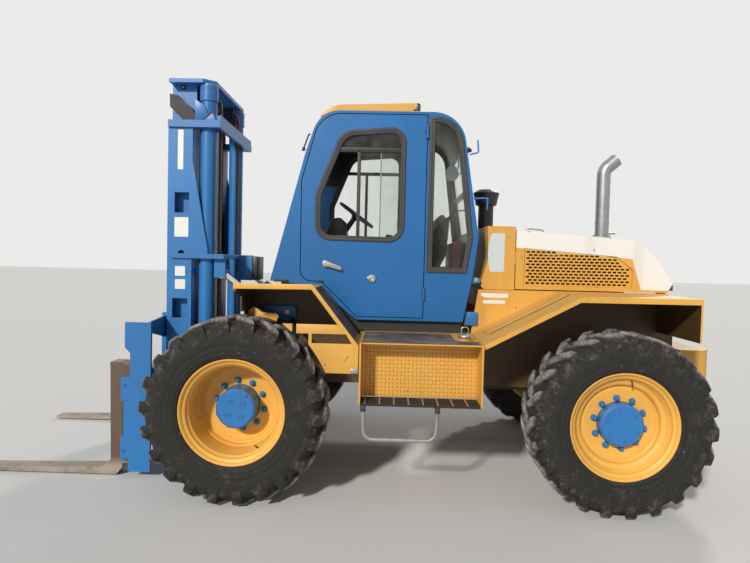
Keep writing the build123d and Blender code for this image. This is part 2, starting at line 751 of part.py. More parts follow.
with BuildPart() as cab_rear:
    skin(joint_rear, joint_foot)
    for start, end, s_low, s_high, half in panes["rear"]:
        slab(along(start, end, s_low, s_high, -60, 60), -half, half, mode=Mode.SUBTRACT)
keep(cab_rear, "cab_rear")

with BuildPart() as cab_floor:
    skin(joint_foot, joint_toe)
    for x_foot in (-1560, -860):
        for y_foot in (-455, 455):
            deck(rect((x_foot, y_foot - 25), (x_foot + 100, y_foot + 25)), frame_top, cab_base + 6)
keep(cab_floor, "cab_floor")

with BuildPart() as cab_glass:
    glass_depth = 12.0
    for group in panes.values():
        for start, end, s_low, s_high, half in group:
            slab(along(start, end, s_low, s_high, -glass_depth - glass_thick, -glass_depth), -half, half)
    quarter_glass = inset(quarter_outline, gasket_width)
    glass_y = cab_half - cab_wall / 2
    slab(quarter_glass, glass_y, glass_y + glass_thick)
    slab(quarter_glass, -glass_y - glass_thick, -glass_y)
    slab(inset(window_outline, gasket_width), -glass_y - glass_thick, -glass_y)
keep(cab_glass, "cab_glass")

with BuildPart() as cab_gaskets:
    for outer, sides in ((quarter_outline, (1, -1)), (window_outline, (-1,))):
        for sign in sides:
            y_low, y_high = sorted((sign * (glass_y - 5), sign * (cab_half + gasket_proud)))
            slab(outer, y_low, y_high)
            slab(inset(outer, gasket_width), y_low, y_high, mode=Mode.SUBTRACT)
keep(cab_gaskets, "cab_gaskets")

with BuildPart() as roof_guard:
    guard_top = roof_z + 54
    rail_outline = [(-1202, roof_z - 20), (-1202, guard_top + 20), (-600, guard_top, 150), (-450, roof_z - 60),
                    (-600, roof_z - 80)]
    for y_low, y_high in ((440, 500), (-500, -440)):
        slab(rail_outline, y_low, y_high)
    slab(cab_outline, -cab_half, cab_half, mode=Mode.SUBTRACT)
    for k in range(7):
        x = -1202 + k * (1202 - 640 - 40) / 6
        slab(rect((x, guard_top - 40), (x + 40, guard_top)), -450, 450)
keep(roof_guard, "roof_guard")

with BuildPart() as seat:
    slab([(-930, 1560), (-930, 1640), (-960, 1665), (-1330, 1650), (-1350, 1560)], -240, 240)
    slab([(-1300, 1645), (-1345, 1700), (-1395, 2040), (-1430, 2060), (-1478, 2040), (-1440, 1600), (-1330, 1600)],
         -220, 220)
    slab([(-960, floor_top(-960)), (-1000, 1560), (-1330, 1560), (-1380, floor_top(-1380))], -200, 200)
keep(seat, "seat")

with BuildPart() as controls:
    wheel_centre = (-718, 2026)
    slab([(-450, floor_top(-450)), (-480, 1900), (-540, 2000), (-620, 1960), (-640, 1600),
          (-640, floor_top(-640))], -120, 120)
    tilted_bar((-600, 1850), (-712, 2019), 0, 22)
    wheel_plane = Plane(
        origin=(front_axle_x + wheel_centre[0], 0, wheel_centre[1]),
        x_dir=(0, 1, 0),
        z_dir=(-205, 0, 289),
    )
    with BuildSketch(wheel_plane) as wheel_face:
        Circle(177)
        Circle(152, mode=Mode.SUBTRACT)
        Circle(30)
        with PolarLocations(0, 3, start_angle=90):
            Rectangle(160, 26, align=(Align.MIN, Align.CENTER))
    extrude(wheel_face.sketch, amount=12, both=True)
keep(controls, "controls")

# Door

with BuildPart() as door_panel:
    slab(door_outline, cab_half - cab_wall, cab_half)
    slab(window_outline, cab_half - cab_wall, cab_half, mode=Mode.SUBTRACT)
    for z_hinge in (1395, 2620):
        post(hinge_x, hinge_y, 10, z_hinge + 0.5, z_hinge + 50)
        slab(rect((hinge_x + 4, z_hinge + 0.5), (hinge_x + 28, z_hinge + 50)), cab_half, cab_half + 5)
keep(door_panel, "door_panel")

with BuildPart() as door_glass:
    slab(inset(window_outline, gasket_width), glass_y, glass_y + glass_thick)
keep(door_glass, "door_glass")

with BuildPart() as door_gasket:
    slab(window_outline, glass_y - 5, cab_half + gasket_proud)
    slab(inset(window_outline, gasket_width), glass_y - 5, cab_half + gasket_proud, mode=Mode.SUBTRACT)
keep(door_gasket, "door_gasket")

with BuildPart() as door_handle:
    cross_bar(-535, 1612, 16, cab_half, cab_half + 30)
    slab([(-517, 1625), (-645, 1580), (-645, 1565), (-530, 1592)], cab_half + 22, cab_half + 36)
    cross_bar(-880, 1505, 26, cab_half, cab_half + 18)
keep(door_handle, "door_handle")

# Outer mast

with BuildPart() as mast_outer:
    web_inner = mast_half - rail_plate
    box_side = mast_half - 14
    slab(rect((rail_rear, mast_foot), (rail_front, outer_top)), web_inner, mast_half)
    slab([(rail_rear, outer_top - 304), (408, 1699), (408, 1663), (rail_rear, 1663)], box_side, mast_half)
    for x_low, x_high in ((rail_front - rail_flange, rail_front), (rail_rear, rail_rear + rail_flange)):
        slab(rect((x_low, mast_foot), (x_high, outer_top)), outer_flange_y, mast_half)
    for window in (((556, 1979), (670, 2136)), ((560, 1159), (680, 1312))):
        slab(rect(*window), web_inner, mast_half, mode=Mode.SUBTRACT)
    cross_bar(615, 1664, 25, web_inner, mast_half, mode=Mode.SUBTRACT)
    # horizontal plates that wrap each cylinder
    ties = ((outer_top - 55, outer_top, 316, rail_front - 3), (1626, 1663, 274, rail_front - 36))
    for z_low, z_high, x_rear, x_front in ties:
        deck([(x_rear, 330), (x_rear, mast_half + 20), (x_front, mast_half + 20), (x_front, mast_half),
              (rail_rear, mast_half), (rail_rear, outer_flange_y + 6), (lift_x, outer_flange_y + 6),
              (lift_x, 330)], z_low, z_high)
        post(lift_x, lift_y, barrel_radius + pin_fit, z_low, z_high, mode=Mode.SUBTRACT)
    # foot box round each cylinder, with the ear of the tilt pivot
    slab(rect((foot_rear, mast_foot + 40), (rail_rear, 760)), box_side, mast_half)
    deck(rect((foot_rear, 300), (rail_rear - 12, box_side)), mast_foot + 40, cylinder_foot)
    deck(rect((rail_rear - 12, outer_flange_y + 6), (rail_rear, box_side)), mast_foot + 40, cylinder_foot)
    slab([(foot_rear, 500), (foot_rear, 640), (mast_pivot[0] - 20, 605), (mast_pivot[0] - 48, 575),
          (mast_pivot[0] - 48, 530), (mast_pivot[0] - 20, 505)], 410, 440)
    cross_bar(*mast_pivot, pivot_radius + pin_fit, 300, 500, mode=Mode.SUBTRACT)
    mirror(about=Plane.XZ)
    # cross beams behind the chains
    deck(rect((316, -mast_half), (346, mast_half)), outer_top - 60, outer_top + 40)
    deck(rect((274, -330), (340, 330)), 1626, 1663)
    bulkhead(rect((-box_side, mast_foot + 40), (box_side, 760)), foot_rear, foot_rear + 25)
    deck(rect((foot_rear + 25, -chain_y - 30), (rear_run_x + 20, chain_y + 30)), chain_low - 20, chain_low)
    # lugs that take the tilt rods
    for sign in (1, -1):
        for y_low, y_high in ((tilt_y - 62, tilt_y - 36), (tilt_y + 36, tilt_y + 62)):
            slab([(274, 1626), (274, 1480), (362, 1480), (362, 1626)], *sorted((sign * y_low, sign * y_high)))
        cross_bar(*tilt_eye, tilt_pin, *sorted((sign * (tilt_y - 62), sign * (tilt_y + 62))))
keep(mast_outer, "mast_outer")

with BuildPart() as lift_barrels:
    post(lift_x, lift_y, barrel_radius, cylinder_foot, gland_bottom)
    post(lift_x, lift_y, gland_radius, gland_bottom, gland_top)
    post(lift_x, lift_y, lift_rod + pin_fit, rod_foot - 10, gland_top, mode=Mode.SUBTRACT)
    mirror(about=Plane.XZ)
keep(lift_barrels, "lift_barrels")


def chain_run(x, z_low, z_high, waisted):
    """The outline of a leaf chain's run, drawn in between its pins; waisted names its shaped edges."""
    half = chain_thick / 2
    count = 2 * round((z_high - z_low) / chain_pitch)
    heights = [z_low + k * (z_high - z_low) / count for k in range(count + 1)]
    edges = []
    for sign in (1, -1):
        if sign in waisted:
            edges.append([(x + sign * (half - k % 2 * chain_waist), z) for k, z in enumerate(heights)])
        else:
            edges.append([(x + sign * half, z_low), (x + sign * half, z_high)])
    return edges[0] + edges[1][::-1]


with BuildPart() as chain_fixed:
    slab(chain_run(rear_run_x, chain_low, sheave_z, (-1,)),
         chain_y - chain_width / 2, chain_y - chain_width / 2 + strand)
    mirror(about=Plane.XZ)
keep(chain_fixed, "chain_fixed")

# Inner mast

with BuildPart() as mast_inner:
    slab(rect((rail_rear, mast_foot + 10), (rail_front, inner_top - top_plate)),
         inner_face_y - rail_plate, inner_face_y)
    for x_low, x_high in ((rail_front - rail_flange, rail_front), (rail_rear, rail_rear + rail_flange)):
        slab(rect((x_low, mast_foot + 10), (x_high, inner_top - top_plate)), inner_flange_y, inner_face_y)
    cross_bar((rail_front + rail_rear) / 2, mast_foot + 110, roller_radius, inner_face_y,
              mast_half - rail_plate - running_gap)
    mirror(about=Plane.XZ)
    deck([(rail_front, -mast_half), (rail_front, mast_half), (460, mast_half), (373, mast_half - 70),
          (373, 70 - mast_half), (460, -mast_half)], inner_top - top_plate, inner_top)
    for z_low, z_high in ((320, 440), (1500, 1560)):
        bulkhead(rect((-inner_face_y, z_low), (inner_face_y, z_high)), rail_rear - 26, rail_rear)
    # sheave brackets under the top plate
    for y_low, y_high in ((chain_y - 42, chain_y - 24), (chain_y + 24, chain_y + 42)):
        for sign in (1, -1):
            slab([(sheave_x - 40, sheave_z - 30), (sheave_x + 40, sheave_z - 30), (sheave_x + 60, inner_top - 20),
                  (sheave_x - 60, inner_top - 20)], *sorted((sign * y_low, sign * y_high)))
    for sign in (1, -1):
        cross_bar(sheave_x, sheave_z, sheave_pin, *sorted((sign * (chain_y - 42), sign * (chain_y + 42))))
keep(mast_inner, "mast_inner")

with BuildPart() as lift_rods:
    post(lift_x, lift_y, lift_rod, rod_foot, inner_top - top_plate)
    mirror(about=Plane.XZ)
keep(lift_rods, "lift_rods")

with BuildPart() as chain_sheaves:
    cross_bar(sheave_x, sheave_z, sheave_radius - chain_thick / 2, chain_y - 20, chain_y + 20)
    cross_bar(sheave_x, sheave_z, sheave_pin + pin_fit, chain_y - 20, chain_y + 20, mode=Mode.SUBTRACT)
    mirror(about=Plane.XZ)
keep(chain_sheaves, "chain_sheaves")

with BuildPart() as chain_moving:
    # the rear strand that rises with the sheave, and the wrap over its top
    y_low, y_high = chain_y + chain_width / 2 - strand, chain_y + chain_width / 2
    slab(chain_run(rear_run_x, chain_low + 10, sheave_z, (-1,)), y_low, y_high)
    cross_bar(sheave_x, sheave_z, sheave_radius + chain_thick / 2, chain_y - 15, y_high)
    cross_bar(sheave_x, sheave_z, sheave_radius - chain_thick / 2 + pin_fit, chain_y - 15, y_high,
              mode=Mode.SUBTRACT)
    slab(rect((rear_run_x - 40, sheave_z - 200), (front_run_x + 40, sheave_z)),
         chain_y - 16, y_low, mode=Mode.SUBTRACT)
    slab(rect((rear_run_x + chain_thick / 2, sheave_z - 200), (front_run_x + 40, sheave_z)),
         y_low, y_high, mode=Mode.SUBTRACT)
    mirror(about=Plane.XZ)
keep(chain_moving, "chain_moving")

with BuildPart() as chain_front:
    slab(chain_run(front_run_x, chain_low, sheave_z, (1, -1)), chain_y - chain_width / 2, chain_y + chain_width / 2)
    mirror(about=Plane.XZ)
keep(chain_front, "chain_front")

with BuildPart() as hose_guide:
    slab(beside((rail_rear, outer_top), [
        (196, 209), (158, 205), (28, 110), (-13, 40), (-13, 0), (68, 0), (193, 110),
    ]), 410, 450)
keep(hose_guide, "hose_guide")

# Carriage and forks

with BuildPart() as carriage:
    for z_low, z_high in (upper_bar, lower_bar):
        slab(rect((bar_rear, z_low), (bar_front, z_high)), -bar_half, bar_half)
    plate_y = bar_half - 24
    plate_rear = rail_front - 10
    slab([(bar_front - 28, 966), (bar_front - 28, 1150), (plate_rear, 1150), (plate_rear, 48), (bar_rear + 12, 48),
          (bar_rear + 12, lower_bar[1] - 1), (bar_front - 20, lower_bar[1] - 1), (bar_front - 20, upper_bar[0] - 2),
          (bar_rear + 2, upper_bar[0] - 2), (bar_rear + 2, 925)], plate_y, bar_half)
    # roller brackets between the rails, and the gussets that join them to the side plates
    bracket_y = (inner_flange_y - 34, inner_flange_y - 6)
    bracket_rear = rail_front + 11
    slab([(560, lower_bar[0]), (bar_rear + 1, lower_bar[0]), (bar_rear + 1, 690), (bar_rear - 40, 700),
          (bar_rear - 40, 1180), (bracket_rear, 1190), (bracket_rear, 900), (560, 760)], *bracket_y)
    bulkhead([(plate_y, 1150), (bracket_y[0], 1187), (bracket_y[0], 962), (plate_y, 1078)],
             bracket_rear, bracket_rear + 14)
    for z in (210, 690):
        cross_bar((rail_front + rail_rear) / 2, z, roller_radius, inner_flange_y - 20, inner_face_y - 30)
    mirror(about=Plane.XZ)
    # tie under the chain ends
    bulkhead(rect((-inner_flange_y + 30, 700), (inner_flange_y - 30, chain_low)), 540, 600)
keep(carriage, "carriage")

fork_outline = [
    (shank_front, shank_top), (shank_front - 8, 120), (shank_front + 60, fork_floor + fork_heel),
    (fork_reach, fork_floor + fork_tip), (fork_reach, fork_floor), (shank_front - 50, fork_floor),
    (bar_front + 1, 70), (bar_front + 1, upper_bar[1] + hook_gap), (bar_rear - 6, upper_bar[1] + hook_gap),
    (bar_rear - 6, upper_bar[1] - 30), (bar_rear - 26, upper_bar[1] - 30), (bar_rear - 26, upper_bar[1] + 54),
    (bar_front + 20, shank_top),
]
for side, sign in (("left", 1), ("right", -1)):
    with BuildPart() as fork:
        y_mid = sign * fork_y
        slab(fork_outline, y_mid - fork_width / 2, y_mid + fork_width / 2)
        slab(rect((bar_rear - 20, lower_bar[0] - 40), (bar_front + 2, lower_bar[0] - running_gap)),
             y_mid - fork_width / 2, y_mid + fork_width / 2)
    keep(fork, f"fork_{side}")

# Tilt cylinders

tilt_dx = tilt_eye[0] - tilt_foot[0]
tilt_dz = tilt_eye[1] - tilt_foot[1]
tilt_length = hypot(tilt_dx, tilt_dz)


def tilt_point(distance):
    """A point on the tilt cylinder's line, from its foot."""
    share = distance / tilt_length
    return (tilt_foot[0] + share * tilt_dx, tilt_foot[1] + share * tilt_dz)


with BuildPart() as tilt_barrels:
    tilted_bar(tilt_foot, tilt_point(112), tilt_y, 28)
    tilted_bar(tilt_point(110), tilt_point(tilt_barrel_length), tilt_y, tilt_barrel)
    cross_bar(*tilt_foot, 42, tilt_y - 30, tilt_y + 30)
    tilted_bar(tilt_point(tilt_inner - 145), tilt_point(tilt_barrel_length + 20), tilt_y, tilt_rod + pin_fit,
               mode=Mode.SUBTRACT)
    cross_bar(*tilt_foot, tilt_pin + pin_fit, tilt_y - 40, tilt_y + 40, mode=Mode.SUBTRACT)
    mirror(about=Plane.XZ)
keep(tilt_barrels, "tilt_barrels")

with BuildPart() as tilt_rods:
    tilted_bar(tilt_point(tilt_inner), tilt_point(tilt_length - 20), tilt_y, tilt_rod)
    cross_bar(*tilt_eye, 44, tilt_y - 27, tilt_y + 27)
    cross_bar(*tilt_eye, tilt_pin + 12, tilt_y - 30, tilt_y + 30, mode=Mode.SUBTRACT)
    mirror(about=Plane.XZ)
keep(tilt_rods, "tilt_rods")

with BuildPart() as tilt_anchors:
    # plates on the front deck that hold the tilt cylinders' feet
    for y_low, y_high in ((tilt_y - 56, tilt_y - 34), (tilt_y + 34, tilt_y + 56)):
        slab([(-360, deck_top), (-310, 1130), (-230, 1130), (-180, deck_top)], y_low, y_high)
    cross_bar(*tilt_foot, tilt_pin, tilt_y - 56, tilt_y + 56)
    mirror(about=Plane.XZ)
keep(tilt_anchors, "tilt_anchors")
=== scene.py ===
"""Looks of a rough-terrain forklift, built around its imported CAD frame."""

import functools
import json
import math
import random

import bmesh
import bpy
from mathutils import Matrix, Vector


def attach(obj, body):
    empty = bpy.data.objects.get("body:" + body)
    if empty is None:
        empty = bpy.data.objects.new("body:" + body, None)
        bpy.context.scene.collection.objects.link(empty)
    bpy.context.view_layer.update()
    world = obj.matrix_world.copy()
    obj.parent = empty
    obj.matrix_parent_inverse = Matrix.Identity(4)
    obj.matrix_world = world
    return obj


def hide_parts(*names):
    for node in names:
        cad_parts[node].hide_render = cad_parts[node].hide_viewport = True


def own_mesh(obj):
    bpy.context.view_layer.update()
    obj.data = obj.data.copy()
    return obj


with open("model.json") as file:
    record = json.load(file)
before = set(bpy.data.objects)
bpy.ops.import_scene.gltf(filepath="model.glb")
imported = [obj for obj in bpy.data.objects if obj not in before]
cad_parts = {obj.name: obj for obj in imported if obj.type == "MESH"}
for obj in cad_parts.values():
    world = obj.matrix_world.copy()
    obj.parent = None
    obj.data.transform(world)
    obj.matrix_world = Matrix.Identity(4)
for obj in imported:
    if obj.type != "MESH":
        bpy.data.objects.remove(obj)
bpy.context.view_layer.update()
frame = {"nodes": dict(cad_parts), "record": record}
nodes = frame["nodes"]

AXLE = 0.5955  # the front axle's X in the shared frame; places below are mm from its foot
SMOOTH_ANGLE = math.radians(35)
LEFT = (0, 1, 0)
UP = (0, 0, 1)
rng = random.Random(7)


def at_x(x):
    """An X place in mm from the front axle, in the shared frame."""
    return AXLE + x / 1000


def metres(point):
    """A point in mm from the front axle's foot, in the shared frame."""
    return Vector((at_x(point[0]), point[1] / 1000, point[2] / 1000))


# Node trees


class Shader:
    """A node tree with short ways to add nodes; base is the colour that its coats go over."""

    def __init__(self, name, kind="materials"):
        self.owner = getattr(bpy.data, kind).new(name)
        self.owner.use_nodes = True
        self.tree = self.owner.node_tree
        self.tree.nodes.clear()
        self.base = None

    def node(self, kind, inputs=(), **settings):
        made = self.tree.nodes.new("ShaderNode" + kind)
        for key, value in settings.items():
            setattr(made, key, value)
        for key, value in dict(inputs).items():
            if isinstance(value, bpy.types.NodeSocket):
                self.tree.links.new(value, made.inputs[key])
            elif made.inputs[key].type == "RGBA":
                made.inputs[key].default_value = (*value, 1)
            else:
                made.inputs[key].default_value = value
        return made

    @functools.cached_property
    def coords(self):
        """The place in object space."""
        return self.node("TexCoord").outputs["Object"]

    @functools.cached_property
    def normal(self):
        """The way a face looks."""
        return self.node("NewGeometry").outputs["Normal"]

    def place(self, axis):
        """One object-space coordinate."""
        return self.node("SeparateXYZ", {0: self.coords}).outputs[axis]

    def facing(self, axis):
        """How far a face looks along an axis, from -1 to 1."""
        return self.node("SeparateXYZ", {0: self.normal}).outputs[axis]

    def upward(self):
        """How far a face looks up, from 0 to 1."""
        return self.math("MAXIMUM", self.facing(2), 0.0)

    def math(self, operation, *values, clamp=False):
        return self.node("Math", dict(enumerate(values)), operation=operation, use_clamp=clamp).outputs[0]

    def times(self, *values):
        """The product of all values."""
        return functools.reduce(lambda a, b: self.math("MULTIPLY", a, b), values)

    def scaled(self, value, factor, offset):
        return self.math("MULTIPLY_ADD", value, factor, offset)

    def over(self, a, b):
        """1 where a is greater than b, and otherwise 0."""
        return self.math("GREATER_THAN", a, b)

    def under(self, a, b):
        return self.math("LESS_THAN", a, b)

    def line(self, along, first, last):
        """The level at a coordinate on the straight line through two (coordinate, level) pairs."""
        slope = (last[1] - first[1]) / (last[0] - first[0])
        return self.scaled(along, slope, first[1] - slope * first[0])

    def dot(self, a, b):
        return self.node("VectorMath", {0: a, 1: b}, operation="DOT_PRODUCT").outputs["Value"]

    def noise(self, scale, detail, roughness=0.55, tall=1.0):
        """Noise from 0 to 1 in object space; a small tall factor draws it out along Z."""
        coords = self.coords
        if tall != 1.0:
            coords = self.node("Mapping", {"Vector": coords, "Scale": (1.0, 1.0, tall)}).outputs[0]
        inputs = {"Vector": coords, "Scale": scale, "Detail": detail, "Roughness": roughness}
        return self.node("TexNoise", inputs).outputs["Fac"]

    def ramp(self, value, low, high):
        """0 below low, 1 above high, smooth between."""
        inputs = {"Value": value, "From Min": low, "From Max": high}
        return self.node("MapRange", inputs, interpolation_type="SMOOTHSTEP").outputs[0]

    def mix(self, factor, a, b):
        """Blends two colours."""
        return self.node("Mix", {0: factor, 6: a, 7: b}, data_type="RGBA").outputs[2]

    def mottle(self, factor, colour, low, high):
        """A colour between a darker and a lighter shade of itself."""
        return self.mix(factor, [c * low for c in colour], [min(1, c * high) for c in colour])

    def coat(self, colour, *masks):
        """Lays a colour over the base, as far as the product of the masks goes."""
        self.base = self.mix(self.times(*masks), self.base, colour)

    def edges(self, radius):
        """Near 1 at sharp outer edges and 0 on flat faces."""
        rounded_normal = self.node("Bevel", {"Radius": radius}, samples=4).outputs[0]
        return self.math("SUBTRACT", 1.0, self.dot(rounded_normal, self.normal), clamp=True)

    def close(self, shader, output="OutputMaterial"):
        """Ends the tree at its output."""
        self.node(output, {0: shader.outputs[0]})
        return self.owner

    def surface(self, roughness, height, distance, rounding=0.0, **sockets):
        """Ends the tree in a Principled shader whose bump follows a height over a distance."""
        bump = {"Height": height, "Distance": distance, "Strength": 1.0}
        if rounding:
            bump["Normal"] = self.node("Bevel", {"Radius": rounding}, samples=4).outputs[0]
        normal = self.node("Bump", bump).outputs[0]
        inputs = {"Base Color": self.base, "Roughness": roughness, "Normal": normal, **sockets}
        return self.close(self.node("BsdfPrincipled", inputs))


def paint(name, colour, undercoat, roughness, dust, chips, grime, zone=None):
    """Weathered machine enamel: uneven coat, dust on top faces, runs of dirt and chipped edges.

    zone(shader) may return (mask, colour) for a second colour: the hood's second coat, and painted shade in
    the wheel arches, the mast's inside and the cab's inside."""
    s = Shader(name)
    fine = s.noise(38, 6)
    s.base = s.mottle(s.ramp(s.noise(1.6, 5), 0.3, 0.75), colour, 0.9, 1.07)
    if zone:
        mask, second = zone(s)
        s.coat(second, mask)
    s.coat((0.16, 0.105, 0.06), s.ramp(s.noise(5.5, 5, tall=0.13), 0.52, 0.82), grime)
    s.coat((0.21, 0.16, 0.11), s.ramp(s.noise(9, 7, 0.65), 0.58, 0.8), grime * 0.7)
    film = s.times(s.upward(), s.ramp(s.noise(4.2, 6), 0.25, 0.7), dust)
    s.coat((0.46, 0.40, 0.32), film)
    wear = s.math("ADD", s.times(s.edges(0.006), 2.2), s.times(fine, 0.9))
    specks = s.times(s.ramp(s.noise(24, 3, 0.3), 0.735, 0.77), chips * 0.8)
    bare = s.math("MAXIMUM", s.times(s.ramp(wear, 0.98, 1.12), chips), specks)
    s.coat(undercoat, bare)
    rough = s.math("ADD", s.times(film, 0.4), s.scaled(fine, 0.16, roughness - 0.06))
    rough = s.math("ADD", rough, s.times(bare, 0.25))
    skin = s.math("SUBTRACT", s.times(s.noise(150, 2), 0.5), bare)
    return s.surface(rough, skin, 0.00035, 0.0025)


BLEND = 0.0008  # half the width of a painted edge


def band_zone(s):
    """The hood's white upper band and rear side panel."""
    x, z = s.place(0), s.place(2)
    band_edge = s.line(x, (at_x(-1989), 1.767), (at_x(-2780), 1.708))
    above = s.ramp(s.math("SUBTRACT", z, band_edge), -BLEND, BLEND)
    # the rear panel's front edge leans back towards its foot
    panel_edge = s.line(z, (1.693, at_x(-2871)), (1.504, at_x(-2928)))
    behind = s.ramp(s.math("SUBTRACT", panel_edge, x), -BLEND, BLEND)
    over_foot = s.ramp(z, 1.4655, 1.467)
    return s.math("MAXIMUM", above, s.times(behind, over_foot)), (0.80, 0.79, 0.75)


def cab_lining_and_shade(s):
    """Near-black on the cab's inward faces, apart from the low part of its front frame: a real dark headliner
    above, and painted shade on the insides of the walls.
    """
    middle = (at_x(-900), 0.0, 2.0)
    inward = s.node("VectorMath", {0: middle, 1: s.coords}, operation="SUBTRACT").outputs[0]
    faces_in = s.over(s.dot(inward, s.normal), 0.0)
    low_front = s.times(s.over(s.place(0), at_x(-520)), s.under(s.place(2), 2.33))
    return s.times(faces_in, s.math("SUBTRACT", 1.0, low_front)), (0.012, 0.013, 0.016)


def arch_painted_shade(s):
    """Painted shade under the fenders and on the frame's sides inside the wheel arches."""
    x, side, z = s.place(0), s.math("ABSOLUTE", s.place(1)), s.place(2)
    foot, knee = (at_x(-1652), 1.086), (at_x(-2290), 1.422)
    rear = s.times(s.under(x, foot[0]), s.under(z, s.math("MINIMUM", s.line(x, foot, knee), 1.425)))
    front = s.times(s.over(x, at_x(-799)), s.under(z, 1.4385))
    # between the frame's side and the fender's outer sheet, and not on faces that look up
    inside = s.times(s.over(side, 0.4745), s.under(side, 1.0985), s.under(s.facing(2), 0.4))
    # the outsides of the front's nose plate and of the tail plate stay without the painted shade
    outwards = s.times(s.facing(0), s.scaled(front, 2.0, -1.0))
    clear = s.times(s.under(outwards, 0.6), s.over(x, at_x(-3189)))
    return s.times(s.math("MAXIMUM", rear, front), inside, clear), (0.085, 0.048, 0.016)


def mast_painted_shade(s):
    """Painted shade, dark navy, over the mast's inside, behind its cross beams."""
    side = s.math("ABSOLUTE", s.place(1))
    within = s.times(s.under(side, 0.3945), s.over(side, 0.03))
    return s.times(within, s.over(s.place(0), at_x(352)), s.under(s.place(2), 2.976)), (0.010, 0.013, 0.022)


def rubber_tyre(name, tread_radius, ridge_dust):
    """Scuffed tyre rubber in the wheel's own space, paler and dusty on its tread."""
    s = Shader(name)
    x, z = s.place(0), s.place(2)
    radius = s.math("SQRT", s.math("ADD", s.times(x, x), s.times(z, z)))
    tread = s.ramp(radius, tread_radius - 0.03, tread_radius - 0.006)
    shoulder = s.ramp(radius, tread_radius - 0.14, tread_radius - 0.07)
    patch = s.noise(11, 7, 0.7)
    s.base = s.mix(patch, (0.009, 0.009, 0.0088), (0.032, 0.029, 0.026))
    s.coat((0.15, 0.13, 0.11), s.ramp(s.noise(19, 8, 0.78), 0.50, 0.62), shoulder, 0.45)
    s.coat((0.40, 0.385, 0.36), tread, s.ramp(s.noise(13, 6, 0.7), 0.30, 0.62), ridge_dust)
    s.coat((0.13, 0.105, 0.08), s.ramp(s.noise(7, 8, 0.75), 0.55, 0.72), 0.35)
    s.coat((0.26, 0.235, 0.21), s.ramp(s.noise(26, 6, 0.7), 0.62, 0.70), 0.5)
    height = s.scaled(s.noise(90, 5), 0.4, patch)
    return s.surface(s.scaled(patch, 0.2, 0.68), height, 0.0025, **{"Specular IOR Level": 0.3})


def plain(name, colour, roughness, vary=0.25, scale=20.0, bump=0.0006, metallic=0.0, dust=0.0, rounding=0.0):
    """A surface with mottled colour and a fine grain."""
    s = Shader(name)
    patch = s.noise(scale, 6)
    s.base = s.mottle(patch, colour, 1 - vary, 1 + vary)
    if dust:
        s.coat((0.42, 0.36, 0.29), s.scaled(s.upward(), 0.8, 0.2), s.ramp(s.noise(6, 6), 0.35, 0.75), dust)
    rough = s.scaled(patch, 0.2, roughness - 0.1)
    return s.surface(rough, s.noise(scale * 9, 3), bump, rounding, Metallic=metallic)


def rusty(name, steel, rust, amount, roughness=0.6, dust=0.0):
    """Bare steel with patches of rust and rubbed places."""
    s = Shader(name)
    patch = s.noise(7, 8, 0.7)
    fine = s.noise(60, 6)
    s.base = s.mottle(s.noise(3, 4), steel, 0.75, 1.25)
    mask = s.ramp(s.scaled(fine, 0.3, patch), 0.9 - amount * 0.5, 1.0 - amount * 0.3)
    s.coat(s.mottle(fine, rust, 0.6, 1.4), mask)
    s.coat((0.42, 0.38, 0.33), s.ramp(s.edges(0.006), 0.1, 0.35), 0.5)
    if dust:
        low = s.math("MAXIMUM", s.upward(), s.ramp(s.place(2), 0.16, 0.05))
        s.coat((0.44, 0.38, 0.31), low, dust, s.ramp(patch, 0.2, 0.6))
    rough = s.scaled(mask, 0.25, roughness - 0.1)
    return s.surface(rough, s.math("ADD", patch, fine), 0.0012, 0.003, Metallic=0.35)


def step_metal():
    """Black greasy grating above a rubbed grey hoop."""
    s = Shader("step_metal")
    patch = s.noise(14, 6)
    s.base = s.mix(patch, (0.15, 0.145, 0.14), (0.44, 0.43, 0.41))
    grating = s.mix(patch, (0.010, 0.008, 0.008), (0.045, 0.032, 0.026))
    s.coat(grating, s.ramp(s.place(2), 0.655, 0.665))
    return s.surface(0.5, patch, 0.0008, 0.002, Metallic=0.3)


def dusty_glass():
    """Cab glass with a thin film of dust."""
    s = Shader("dusty_glass")
    film = s.scaled(s.ramp(s.noise(5, 7, 0.7, tall=0.5), 0.35, 0.8), 0.10, 0.02)
    pane = s.node("BsdfPrincipled", {"Base Color": (0.90, 0.93, 0.91), "Roughness": 0.03, "IOR": 1.02,
                                     "Transmission Weight": 1.0, "Specular IOR Level": 0.5})
    dust = s.node("BsdfPrincipled", {"Base Color": (0.55, 0.53, 0.48), "Roughness": 0.8})
    return s.close(s.node("MixShader", {0: film, 1: pane.outputs[0], 2: dust.outputs[0]}))


